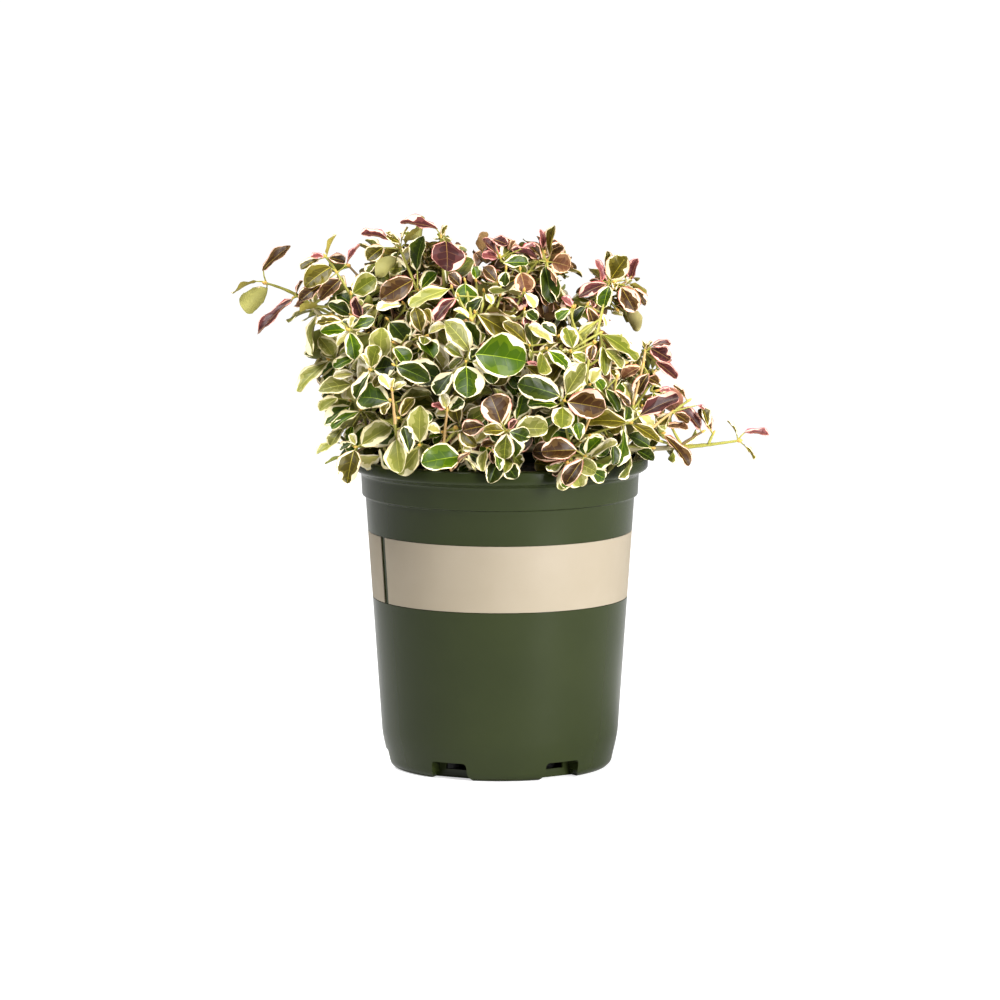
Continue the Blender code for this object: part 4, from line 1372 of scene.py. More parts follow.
@dataclass
class Crown:
    """The plant's twigs and leaves, grown by the source's rule and carried finer."""

    leaf_length: float = 20.0 * MM
    leaf_spread: float = 0.2
    rosette_step: float = 2.6 * MM
    node_step: float = 11.5 * MM
    twig_radius: float = 0.95 * MM
    twig_tip: float = 0.6 * MM
    tries: tuple[float, ...] = (1.0, 0.85, 0.72)
    turns: tuple[float, ...] = (0.0, 22.0, -22.0, 45.0, -45.0, 70.0, -70.0)
    finishes: LeafFinishes = field(default_factory=LeafFinishes)
    cells: Cells = field(default_factory=Cells)
    room: Clearance = field(default_factory=Clearance)
    sight: Sight = field(default_factory=Sight)
    twigs: list[Twig] = field(default_factory=list)
    leaves: dict[str, list[Leaf]] = field(default_factory=dict)

    def grow(self) -> None:
        """Grows every mass: stems, twigs, side shoots and then leaves."""
        boughs = {mass.name: RULE.bough(mass, way) for mass, way in zip(MASSES, RULE.directions())}
        for mass in MASSES:
            self.leaves[mass.name] = []
            self.keep_limb(boughs[mass.name])
            self.grow_stem(mass, boughs[mass.name])
        for sprig in SPRIGS:
            self.set_sprig(sprig)
        for mass in MASSES:
            self.grow_twigs(mass)
        for twig in list(self.twigs):
            if twig.growth is Growth.FULL:
                self.grow_side_shoots(twig)
        for twig in self.twigs:
            if twig.growth is not Growth.BARE:
                self.grow_leaves(twig)
        for mass in MASSES:
            inner = Twig(mass, boughs[mass.name], -2, 1.8 * MM, 1.4 * MM, TwigFinish.OLD, bare_root=22.0 * MM)
            self.grow_leaves(inner)

    def set_sprig(self, sprig: Sprig) -> None:
        """Sets the leaves of a sprig and joins its node to its mass by a twig."""
        node = CAMERA.point(*sprig.node, sprig.depth * MM)
        mass = self.cells.owner(node)
        carrier = next(twig for twig in self.twigs if twig.mass is mass)
        start = node
        if sprig.stem:
            across, down, depth = sprig.stem
            start = CAMERA.point(across, down, depth * MM)
            bend = (start + node) / 2.0 + UP * 0.6 * MM
            self.put_twig(mass, Curve(start, bend, node), sprig.finish)
        shares = [index / 8.0 for index in range(9)]
        near = min(shares, key=lambda share: (carrier.line.point(share) - start).length)
        foot = carrier.line.point(near)
        out = (node - start).normalized() if sprig.stem else (start - Vector(RULE.heart) * MM).normalized()
        if (start - foot).length > carrier.radius:
            line = Curve(foot, start - out * (start - foot).length * 0.25, start)
            growth = Growth.LEAVES if mass.twigs else Growth.BARE
            self.put_twig(mass, line, TwigFinish.YOUNG, growth, bud=not sprig.stem)
        for index, blade in enumerate(sprig.blades):
            self.set_blade(mass, sprig, blade, node, index)

    def put_twig(self, mass: Mass, line: Curve, finish: TwigFinish, growth: Growth = Growth.BARE,
                 bud: bool = True) -> None:
        """Adds a sprig's twig."""
        number = len(self.twigs)
        twig = Twig(mass, line, number, 0.8 * MM, 0.62 * MM, finish, growth=growth, bud=bud)
        self.room.keep(*twig.coarse(), number)
        self.twigs.append(twig)

    def set_blade(self, mass: Mass, sprig: Sprig, blade: Blade, node: Vector, index: int) -> None:
        """Sets one listed leaf, facing the viewer as far as it shows.

        Args:
            mass: the mass that it belongs to.
            sprig: its sprig.
            blade: the leaf.
            node: the sprig's node.
            index: the leaf's number in the sprig.
        """
        depth = (sprig.depth + blade.ahead) * MM
        root = CAMERA.point(*(blade.root or sprig.node), depth)
        ahead = CAMERA.point(*blade.tip, depth) - root
        viewer = (CAMERA.place() - root).normalized()
        flat = (ahead - viewer * ahead.dot(viewer)).normalized()
        lean = math.radians(blade.lean)
        way = (flat * math.cos(lean) + viewer * math.sin(lean)).normalized()
        if blade.root is None:
            root = root + way * 1.4 * MM
        face = (viewer - way * viewer.dot(way)).normalized()
        side = way.cross(face)
        if side.z < 0.0:
            side = -side
        roll = math.acos(min(abs(blade.show), 1.0))
        shown = 1.0 if blade.show > 0.0 else -1.0
        up = (face * shown * math.cos(roll) + side * math.sin(roll)).normalized()
        rng = random.Random(f"{sprig.node} {index}")
        form = LeafForm(
            length=blade.length * MM,
            width=blade.width / blade.length,
            fold=rng.uniform(0.2, 0.5),
            curl=rng.uniform(0.3, 0.6),
            wave=rng.uniform(0.03, 0.06),
            phase=rng.uniform(0.0, math.tau),
            taper=rng.uniform(0.6, 0.85),
            blunt=rng.uniform(0.45, 0.68),
            margin=blade.margin * MM,
            splash=blade.splash,
            seed=rng.randrange(1_000_000),
        )
        half = form.curl / 2.0
        pose = Pose(root, way * math.cos(half) + up * math.sin(half), up * math.cos(half) - way * math.sin(half))
        hull = pose.world(form.hull())
        self.room.keep(hull, tree_of(hull, HULL_FACES), 100_000 + len(self.leaves[mass.name]))
        if blade.show > 0.0:
            self.sight.add(hull)
        self.leaves[mass.name].append(Leaf(form, pose, blade.tint, index % len(SHADES), node))

    def keep_limb(self, bough: Curve) -> None:
        """Keeps leaves and twigs clear of a bough."""
        vertices, quads, triangles = ring_mesh(bough.points(5), np.linspace(2.6, 1.8, 5) * MM, 6)
        faces = [tuple(face) for face in quads] + [tuple(face) for face in triangles]
        self.room.keep(vertices, tree_of(vertices, faces), -2)

    def add_twig(self, mass: Mass, line: Curve, radius: float, finish: TwigFinish, grows_on: int) -> bool:
        """Adds a twig if it stays in its mass's space and touches nothing.

        Args:
            mass: the mass that it belongs to.
            line: its line.
            radius: its thickness at the root.
            finish: its skin.
            grows_on: the number of what carries it.

        Returns:
            Whether it was added.
        """
        number = len(self.twigs)
        twig = Twig(mass, line, number, radius, min(self.twig_tip, radius), finish, bud=number % 5 < 2)
        vertices, tree = twig.coarse()
        if not self.cells.holds(mass, vertices) or not RULE.above_pot(vertices):
            return False
        if not self.room.clear(vertices, tree, grows_on):
            return False
        self.room.keep(vertices, tree, number)
        self.twigs.append(twig)
        return True

    def grow_stem(self, mass: Mass, bough: Curve) -> None:
        """Grows a mass's stem from its bough's tip."""
        onward = (bough.end - bough.bend).normalized()
        root = bough.end + onward * RULE.gap
        tips = RULE.tips(mass)
        stem = Curve(root, root + onward * (tips[0] - root).length * 0.4, tips[0])
        stem_number = len(self.twigs)
        growth, finish = (Growth.FULL, TwigFinish.OLD) if mass.twigs else (Growth.BARE, TwigFinish.YOUNG)
        self.twigs.append(Twig(mass, stem, stem_number, 1.3 * MM, self.twig_tip, finish, growth=growth))
        self.room.keep(*self.twigs[-1].coarse(), stem_number)

    def grow_twigs(self, mass: Mass) -> None:
        """Grows a mass's twigs from its stem."""
        tips = RULE.tips(mass)
        stem_number = next(twig.number for twig in self.twigs if twig.mass is mass)
        stem = self.twigs[stem_number].line
        for index, tip in enumerate(tips[1 : mass.twigs], start=1):
            share = 0.08 + 0.72 * index / len(tips)
            start = stem.point(share)
            for reach in (0.92, 0.78, 0.62, 0.46):
                end = start + (tip - start) * reach
                lean = stem.along(share) * 0.5 + (tip - start).normalized()
                line = Curve(start, start + lean * (end - start).length * 0.3, end)
                if self.add_twig(mass, line, self.twig_radius, TwigFinish.YOUNG, stem_number):
                    break

    def grow_side_shoots(self, twig: Twig) -> None:
        """Grows short shoots from a twig's nodes, in opposite pairs."""
        length = twig.line.length()
        if length < 17.0 * MM:
            return
        rng = random.Random(f"{twig.mass.name} shoots {twig.number}")
        turn = rng.uniform(0.0, math.pi)
        for share in (0.3, 0.52, 0.72):
            start = twig.line.point(share)
            along = twig.line.along(share)
            first, second = side_frame(along)
            out = first * math.cos(turn) + second * math.sin(turn)
            for side in (out, -out):
                way = (side + along * 0.65).normalized()
                reach = rng.uniform(9.0, 15.0) * MM
                end = start + (way + UP * 0.2).normalized() * reach
                line = Curve(start, start + way * reach * 0.5, end)
                finish = rng.choice((TwigFinish.YOUNG, TwigFinish.FLUSHED))
                self.add_twig(twig.mass, line, 0.7 * MM, finish, twig.number)
            turn += math.pi / 2.0

    def facing(self, point: Vector, way: Vector, along: Vector) -> Vector:
        """The up side of a leaf: square to it, between its twig's way, the sky and outward."""
        outward = (point - Vector(RULE.heart) * MM).normalized()
        lift = along * 0.55 + UP * 0.35 + outward * 0.6
        lift -= way * lift.dot(way)
        return lift.normalized()

    def tint_for(self, point: Vector, rng: random.Random) -> Tint:
        """Deals a tint by where on the crown a spray sits: warm above and to the right."""
        warm = 0.30 + (point.z - 0.235) / 0.1 + 0.35 * point.x / 0.1
        warm = min(max(warm, 0.1), 0.85)
        if rng.random() < warm:
            kinds = (Tint.BRONZE, Tint.PURPLE, Tint.OLIVE, Tint.ROSE, Tint.COPPER, Tint.JADE)
            weights = (24, 14, 28, 4, 10, 20)
        else:
            kinds = (Tint.DEEP, Tint.FRESH, Tint.JADE, Tint.OLIVE, Tint.IVORY, Tint.LIME, Tint.BRONZE)
            weights = (12, 22, 24, 12, 14, 13, 3)
        return rng.choices(kinds, weights)[0]

    def form_for(self, length: float, rng: random.Random) -> LeafForm:
        """A leaf's shape, drawn at random for its length."""
        return LeafForm(
            length=length,
            width=rng.uniform(0.62, 0.86),
            fold=rng.uniform(0.15, 0.65),
            curl=rng.uniform(0.2, 0.9),
            wave=rng.uniform(0.02, 0.06),
            phase=rng.uniform(0.0, math.tau),
            taper=rng.uniform(0.6, 0.9),
            blunt=rng.uniform(0.45, 0.75),
            margin=rng.uniform(0.5, 1.5) * MM * min(length / (15.0 * MM), 1.0),
            seed=rng.randrange(1_000_000),
        )

    def grow_leaves(self, twig: Twig) -> None:
        """Grows opposite pairs of leaves along a twig: a rosette at its tip, then wider apart."""
        rng = random.Random(f"{twig.mass.name} leaves {twig.number}")
        length = twig.line.length()
        turn = rng.uniform(0.0, math.pi)
        spray_tint = self.tint_for(twig.line.end, rng)
        back, place = (8.0 * MM, 3) if twig.growth is Growth.LEAVES else (0.3 * MM, 0)
        while back < length * 0.88 - twig.bare_root:
            share = 1.0 - back / length
            along = twig.line.along(share)
            first, second = side_frame(along)
            at_tip = place < 3
            out = first * math.cos(turn) + second * math.sin(turn)
            for side in (out, -out):
                lift = math.radians((46.0, 30.0, 16.0, 8.0)[min(place, 3)] + rng.uniform(-10.0, 10.0))
                way = (side * math.cos(lift) + along * math.sin(lift)).normalized()
                size = (0.6, 0.88, 1.0, 1.0)[min(place, 3)] * (1.0 + rng.uniform(-self.leaf_spread, self.leaf_spread))
                tint = spray_tint if rng.random() < 0.72 else self.tint_for(twig.line.end, rng)
                if not at_tip and tint in (Tint.ROSE, Tint.PURPLE):
                    tint = Tint.JADE
                self.try_leaf(twig, twig.line.point(share), way, along, size * twig.mass.leaf_scale, tint, rng)
            turn += math.pi / 2.0 + rng.uniform(-0.3, 0.3)
            place += 1
            back += self.rosette_step if place < 3 else self.node_step * rng.uniform(0.75, 1.1)

    def try_leaf(self, twig: Twig, at: Vector, way: Vector, along: Vector, size: float, tint: Tint,
                 rng: random.Random) -> bool:
        """Adds a leaf, turned or made smaller until it fits.

        Args:
            twig: what carries it.
            at: where it leaves the twig.
            way: the way it would like to point.
            along: the way the twig runs there.
            size: its size, as a share of the usual length.
            tint: its colours.
            rng: the twig's own random numbers.

        Returns:
            Whether a place was found.
        """
        form = self.form_for(self.leaf_length * size, rng)
        tilt = rng.uniform(-0.35, 0.35)
        for smaller, turn in itertools.product(self.tries, self.turns):
            up = self.facing(at, way, along)
            up = Matrix.Rotation(tilt, 3, way) @ up
            turned = Matrix.Rotation(math.radians(turn), 3, up) @ way
            stalk = (1.2 + 1.6 * size) * MM
            pose = Pose(at + turned * stalk, turned, up)
            sized = LeafForm(**{**form.__dict__, "length": form.length * smaller})
            hull = pose.world(sized.hull())
            if not self.cells.holds(twig.mass, hull, 2.0 * MM) or not RULE.above_pot(hull):
                continue
            if self.sight.shuts(hull) or self.sight.hides(hull):
                continue
            tree = tree_of(hull, HULL_FACES)
            if self.room.clear(hull, tree, twig.number):
                self.room.keep(hull, tree, 100_000 + len(self.leaves[twig.mass.name]))
                self.leaves[twig.mass.name].append(Leaf(sized, pose, tint, rng.randrange(len(SHADES)), at))
                return True
        return False

    def build_leaves(self, mass: Mass) -> bpy.types.Object:
        """Joins a mass's leaves into one piece."""
        parts = MeshParts()
        for leaf in self.leaves[mass.name]:
            numbers = self.finishes.numbers[leaf.tint, leaf.shade]
            parts.add(
                leaf.pose.world(leaf.form.points()),
                LEAF_QUADS,
                LEAF_TRIANGLES,
                numbers[QUAD_PARTS],
                numbers[TRIANGLE_PARTS],
            )
        return parts.build(f"leaves_{mass.name}", self.finishes.materials, 70.0)

    def build_twigs(self, mass: Mass) -> bpy.types.Object:
        """Joins a mass's twigs, leaf stalks and buds into one piece."""
        parts = MeshParts()
        for twig in self.twigs:
            if twig.mass is mass:
                self.add_twig_mesh(parts, twig)
        for leaf in self.leaves[mass.name]:
            self.add_stalk(parts, leaf)
        finishes = [finish.value.material() for finish in TWIG_FINISHES]
        return parts.build(f"twigs_{mass.name}", finishes, 60.0)

    def add_twig_mesh(self, parts: MeshParts, twig: Twig) -> None:
        """Adds a twig, thicker at its nodes, with the bud at its tip."""
        count = max(5, round(twig.line.length() / (2.2 * MM)))
        shares = np.linspace(0.0, 1.0, count)
        radii = twig.radius + (twig.tip_radius - twig.radius) * shares
        radii = radii * (1.0 + 0.22 * np.cos(shares * math.tau * max(twig.line.length() / self.node_step, 1.0)) ** 6)
        slot = TWIG_FINISHES.index(twig.finish)
        self.add_tube(parts, twig.line.points(count), radii, 7, slot)
        if not twig.bud:
            return
        tip = twig.line.end
        along = twig.line.along(1.0)
        bud = [tip + along * step * MM for step in (-0.6, 0.3, 1.1, 1.9, 2.5)]
        radii = np.array((0.55, 0.95, 1.0, 0.62, 0.12)) * twig.radius
        self.add_tube(parts, bud, radii, 6, TWIG_FINISHES.index(TwigFinish.BUD))

    def add_stalk(self, parts: MeshParts, leaf: Leaf) -> None:
        """Adds a leaf's stalk, from inside the twig to under the blade's root."""
        end = leaf.pose.root + leaf.pose.way * leaf.form.length * 0.1 - leaf.pose.up * 0.15 * MM
        line = Curve(leaf.stalk, leaf.pose.root - leaf.pose.way * 0.3 * MM, end)
        slot = TWIG_FINISHES.index(TwigFinish.YOUNG)
        self.add_tube(parts, line.points(4), np.array((0.55, 0.42, 0.36, 0.14)) * MM, 5, slot)

    @staticmethod
    def add_tube(parts: MeshParts, points: list[Vector], radii: np.ndarray, sides: int, slot: int) -> None:
        """Adds a tube in one finish."""
        vertices, quads, triangles = ring_mesh(points, radii, sides)
        parts.add(vertices, quads, triangles, np.full(len(quads), slot), np.full(len(triangles), slot))

    def build(self) -> None:
        """Builds and places every mass's pieces."""
        self.grow()
        for mass in MASSES:
            for piece, slot in ((self.build_leaves(mass), "leaf"), (self.build_twigs(mass), "leaf")):
                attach(piece, "root")
                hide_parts(f"foliage_{mass.name}")
                LOG.info("%s: %d faces", piece.name, len(piece.data.polygons))


@dataclass(frozen=True)
class Limbs:
    """The short stem and the boughs, with the bark's relief."""

    stem_rings: tuple[tuple[float, float], ...] = ((0.0, 9.6), (0.14, 7.2), (0.38, 5.7), (0.75, 5.0), (1.0, 4.2))
    root_lobes: int = 4
    lobe_depth: float = 0.22
    stub_radius: float = 2.3 * MM
    bough_radius: float = 2.0 * MM
    bough_tip: float = 1.35 * MM
    sides: int = 18
    ring_step: float = 1.3 * MM
    ridge: float = 0.16
    bark: Finish = Finish(
        "bark",
        (118, 96, 62),
        (0.65, 0.9),
        relief=(700.0, 2600.0, 0.6),
        relief_depth=0.25 * MM,
        second=(78, 62, 44),
        colour_scale=240.0,
    )

    def rough(self, points: list[Vector], radii: np.ndarray) -> np.ndarray:
        """Radii that carry ridges along the limb.

        Args:
            points: the rings' middles.
            radii: a radius for each.

        Returns:
            A radius for each ring and side.
        """
        rows = []
        for point, radius in zip(points, radii):
            row = []
            for side in range(self.sides):
                angle = math.tau * side / self.sides
                place = Vector((math.cos(angle) * 2.4, math.sin(angle) * 2.4, point.length * 110.0))
                row.append(radius * (1.0 + self.ridge * noise.noise(place) + 0.05 * noise.noise(place * 4.0)))
            rows.append(row)
        return np.array(rows)

    def add_limb(self, parts: MeshParts, points: list[Vector], radii: np.ndarray) -> None:
        """Adds one limb with its relief."""
        vertices, quads, triangles = ring_mesh(points, self.rough(points, radii), self.sides)
        parts.add(vertices, quads, triangles, np.zeros(len(quads), int), np.zeros(len(triangles), int))

    def build(self) -> None:
        """Builds the stem with its stubs, and the boughs, each as one piece."""
        ways = RULE.directions()
        stem = MeshParts()
        foot = Vector((0.0, 0.0, RULE.mix_top + RULE.gap))
        shares = np.linspace(0.0, 1.0, 22)
        radii = np.interp(shares, *zip(*self.stem_rings)) * MM
        lean = Vector(RULE.stem_lean) * MM
        points = [foot + UP * share * RULE.stem_height + lean * share for share in shares]
        relief = self.rough(points, radii)
        angles = np.arange(self.sides) * math.tau / self.sides
        relief *= 1.0 + self.lobe_depth * np.outer((1.0 - shares) ** 3, np.cos(self.root_lobes * angles))
        vertices, quads, triangles = ring_mesh(points, relief, self.sides)
        vertices[:, 2] = np.maximum(vertices[:, 2], foot.z)
        stem.add(vertices, quads, triangles, np.zeros(len(quads), int), np.zeros(len(triangles), int))
        boughs = MeshParts()
        for mass, way in zip(MASSES, ways):
            stub = Curve(RULE.fork(), RULE.fork() + way * RULE.stub * 0.5, RULE.fork() + way * RULE.stub)
            self.add_limb(stem, stub.points(10), np.linspace(self.stub_radius, self.bough_radius, 10))
            line = RULE.bough(mass, way)
            count = max(8, round(line.length() / self.ring_step))
            self.add_limb(boughs, line.points(count), np.linspace(self.bough_radius, self.bough_tip, count))
        finish = [self.bark.material()]
        made = ((stem.build("trunk", finish, 80.0), ["stem"]),
                (boughs.build("boughs", finish, 80.0), [f"bough_{mass.name}" for mass in MASSES]))
        for piece, nodes in made:
            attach(piece, "root")
            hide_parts(*nodes)
            LOG.info("%s: %d faces", piece.name, len(piece.data.polygons))


def fillet(points: list[tuple[float, float]], radii: list[float], steps: int = 4) -> list[tuple[float, float]]:
    """Rounds the corners of an open outline.

    Args:
        points: the outline's corners.
        radii: each corner's radius; the two ends keep 0.
        steps: the points of each arc, less one.

    Returns:
        The outline with an arc at each corner that has a radius.
    """
    made = []
    for index, (point, radius) in enumerate(zip(points, radii)):
        if radius <= 0.0:
            made.append(point)
            continue
        here = Vector(point)
        before = Vector(points[index - 1]) - here
        after = Vector(points[index + 1]) - here
        start = here + before.normalized() * min(radius, before.length * 0.45)
        end = here + after.normalized() * min(radius, after.length * 0.45)
        for step in range(steps + 1):
            share = step / steps
            rest = 1.0 - share
            made.append(tuple(start * rest * rest + here * 2.0 * rest * share + end * share * share))
    return made


def turned(name: str, profile: list[tuple[float, float]], steps: int) -> bpy.types.Object:
    """A closed solid of revolution from (radius, height) points, both ends on the axis."""
    shape = bmesh.new()
    points = [shape.verts.new((radius, 0.0, height)) for radius, height in profile]
    edges = [shape.edges.new(pair) for pair in zip(points, points[1:])]
    bmesh.ops.spin(shape, geom=points + edges, axis=UP, cent=(0, 0, 0), angle=math.tau, steps=steps, use_merge=True)
    bmesh.ops.remove_doubles(shape, verts=shape.verts, dist=0.01 * MM)
    return object_from(name, shape)


def object_from(name: str, shape: bmesh.types.BMesh) -> bpy.types.Object:
    """Puts a bmesh into a new object."""
    bmesh.ops.recalc_face_normals(shape, faces=shape.faces)
    mesh = bpy.data.meshes.new(name)
    shape.to_mesh(mesh)
    shape.free()
    made = bpy.data.objects.new(name, mesh)
    bpy.context.scene.collection.objects.link(made)
    return made


@dataclass(frozen=True)
class NurseryPot:
    """The moulded pot: a thin tapered wall with shoulder, lip and drain pockets."""

    height: float = 175.6 * MM
    lip: tuple[float, float] = (83.0 * MM, 6.7 * MM)
    shoulder_top: tuple[float, float] = (78.0 * MM, 166.0 * MM)
    shoulder_foot: tuple[float, float] = (77.4 * MM, 153.7 * MM)
    body_top: tuple[float, float] = (75.5 * MM, 153.0 * MM)
    body_foot: tuple[float, float] = (66.4 * MM, 18.9 * MM)
    heel: tuple[float, float] = (62.9 * MM, 2.5 * MM)
    foot: float = 60.2 * MM
    wall: float = 2.0 * MM
    floor: float = 2.2 * MM
    steps: int = 160
    pockets: int = 6
    first_pocket: float = -26.7
    pocket_width: float = 21.5 * MM
    pocket_height: float = 10.0 * MM
    pocket_back: float = 53.0 * MM
    drain: tuple[float, float, float] = (14.0 * MM, 4.5 * MM, 3.6 * MM)
    band_low: float = 96.1 * MM
    band_high: float = 133.4 * MM
    band_thickness: float = 0.5 * MM
    seam_at: float = -62.0
    seam_width: float = 5.0 * MM
    gap: float = 0.3 * MM
    plastic: Finish = Finish(
        "moulded_plastic",
        (40, 47, 20),
        (0.22, 0.27),
        patch_scale=45.0,
        relief=(60.0, 2600.0, 0.2),
        relief_depth=0.02 * MM,
        specular=0.2,
        second=(37, 44, 18),
        colour_scale=26.0,
    )
    paper: Finish = Finish(
        "plain_band",
        (152, 141, 123),
        (0.5, 0.6),
        patch_scale=80.0,
        relief=(220.0, 3200.0, 0.5),
        relief_depth=0.03 * MM,
        specular=0.25,
        second=(148, 137, 118),
        colour_scale=38.0,
    )

    def radius_at(self, height: float) -> float:
        """The outer radius of the straight body at a height."""
        share = (height - self.body_foot[1]) / (self.body_top[1] - self.body_foot[1])
        return self.body_foot[0] + share * (self.body_top[0] - self.body_foot[0])

    def outside(self) -> list[tuple[float, float]]:
        """The outer outline, from the axis under the floor to the axis over the lip."""
        recess = self.band_thickness + self.gap
        low, high = self.band_low - self.gap, self.band_high + self.gap
        lip_radius, lip_height = self.lip
        corners = [
            ((0.0, 0.0), 0.0),
            ((self.foot, 0.0), 1.0),
            (self.heel, 2.0),
            (self.body_foot, 4.0),
            ((self.radius_at(low), low), 0.0),
            ((self.radius_at(low) - recess, low), 0.0),
            ((self.radius_at(high) - recess, high), 0.0),
            ((self.radius_at(high), high), 0.0),
            (self.body_top, 0.5),
            (self.shoulder_foot, 0.6),
            (self.shoulder_top, 1.4),
            ((lip_radius, self.height - lip_height), 1.1),
            ((lip_radius, self.height), 1.3),
            ((0.0, self.height), 0.0),
        ]
        return fillet([point for point, _ in corners], [radius * MM for _, radius in corners])

    def inside(self) -> list[tuple[float, float]]:
        """The hollow's outline, a little higher than the lip."""
        wall = self.wall
        corners = [
            ((0.0, self.floor), 0.0),
            ((self.foot - wall, self.floor), 2.0),
            ((self.body_foot[0] - wall, self.body_foot[1]), 4.0),
            ((self.body_top[0] - wall, self.body_top[1] - wall), 1.0),
            ((self.shoulder_foot[0] - wall, self.shoulder_foot[1]), 1.0),
            ((self.shoulder_top[0] - wall, self.shoulder_top[1]), 1.0),
            ((self.shoulder_top[0] - wall, self.height + MM), 0.0),
            ((0.0, self.height + MM), 0.0),
        ]
        return fillet([point for point, _ in corners], [radius * MM for _, radius in corners])

    def prisms(self, name: str, outline: list[tuple[float, float]], start: float, end: float) -> bpy.types.Object:
        """One upright outline, drawn out from the axis, at every pocket.

        Args:
            name: the cutter's name.
            outline: its (across, height) corners.
            start: the radius where it starts.
            end: the radius where it ends.

        Returns:
            The cutter.
        """
        shape = bmesh.new()
        for index in range(self.pockets):
            angle = math.radians(self.first_pocket - 90.0 + index * 360.0 / self.pockets)
            turn = Matrix.Rotation(angle, 3, "Z")
            rings = [[shape.verts.new(turn @ Vector((radius, across, height))) for across, height in outline]
                     for radius in (start, end)]
            shape.faces.new(rings[0])
            shape.faces.new(rings[1][::-1])
            for side in range(len(outline)):
                after = (side + 1) % len(outline)
                shape.faces.new((rings[0][side], rings[1][side], rings[1][after], rings[0][after]))
        return object_from(name, shape)

    def arch(self, width: float, height: float, flare: float) -> list[tuple[float, float]]:
        """The outline of a pocket: upright sides, rounded above and flared at the foot."""
        half, drop, corner = width / 2.0, -MM, 2.5 * MM
        open_side = [(-half - flare, drop), (-half, flare + drop / 2.0), (-half, height), (0.0, height)]
        side = fillet(open_side, [0.0, flare, corner, 0.0])
        return side[:-1] + [(-across, up) for across, up in side[-2::-1]]

    @staticmethod
    def cut(body: bpy.types.Object, tool: bpy.types.Object) -> None:
        """Cuts the tool out of the body and removes it."""
        change = body.modifiers.new("cut", "BOOLEAN")
        change.operation = "DIFFERENCE"
        change.object = tool
        graph = bpy.context.evaluated_depsgraph_get()
        body.data = bpy.data.meshes.new_from_object(body.evaluated_get(graph))
        body.modifiers.clear()
        bpy.data.objects.remove(tool, do_unlink=True)

    def build_pot(self) -> bpy.types.Object:
        """Builds the pot's piece."""
        pot = turned("nursery_pot", self.outside(), self.steps)
        hollow = turned("hollow", self.inside(), self.steps)
        outer = self.lip[0] + 2.0 * MM
        walls = self.arch(self.pocket_width + 2.0 * self.wall, self.pocket_height + self.wall, 0.5 * MM)
        self.cut(hollow, self.prisms("walls", walls, self.pocket_back - self.wall, outer))
        self.cut(pot, hollow)
        pocket = self.arch(self.pocket_width, self.pocket_height, 3.0 * MM)
        self.cut(pot, self.prisms("pockets", pocket, self.pocket_back, outer))
        width, low, tall = self.drain
        slot = [(-width / 2, low), (width / 2, low), (width / 2, low + tall), (-width / 2, low + tall)]
        self.cut(pot, self.prisms("drains", slot, self.pocket_back - 2.0 * self.wall, self.pocket_back + MM))
        self.dress(pot, self.plastic, "pot", "pot", 32.0)
        return pot

    def build_band(self) -> bpy.types.Object:
        """Builds the plain band: a thin sleeve with rounded edges, open at its seam."""
        gap = self.seam_width / self.radius_at((self.band_low + self.band_high) / 2.0)
        start = math.radians(self.seam_at - 90.0) + gap / 2.0
        inner_low = self.radius_at(self.band_low) - self.band_thickness
        inner_high = self.radius_at(self.band_high) - self.band_thickness
        ease = 0.15 * MM
        section = [
            (inner_low, self.band_low),
            (self.radius_at(self.band_low) - ease, self.band_low),
            (self.radius_at(self.band_low), self.band_low + ease),
            (self.radius_at(self.band_high), self.band_high - ease),
            (self.radius_at(self.band_high) - ease, self.band_high),
            (inner_high, self.band_high),
        ]
        shape = bmesh.new()
        turn = Matrix.Rotation(start, 3, "Z")
        corners = [shape.verts.new(turn @ Vector((radius, 0.0, height))) for radius, height in section]
        face = shape.faces.new(corners)
        bmesh.ops.spin(shape, geom=[face], axis=UP, cent=(0, 0, 0), angle=math.tau - gap, steps=self.steps)
        band = object_from("plain_band", shape)
        self.dress(band, self.paper, "band", "band", 30.0)
        return band

    @staticmethod
    def dress(piece: bpy.types.Object, finish: Finish, node: str, slot: str, sharp: float) -> None:
        """Gives a piece its finish and ties it to the frame."""
        piece.data.materials.clear()
        piece.data.materials.append(finish.material())
        piece.data.shade_smooth()
        piece.data.set_sharp_from_angle(angle=math.radians(sharp))
        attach(piece, "root")
        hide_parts(node)
        LOG.info("%s: %d faces", piece.name, len(piece.data.polygons))


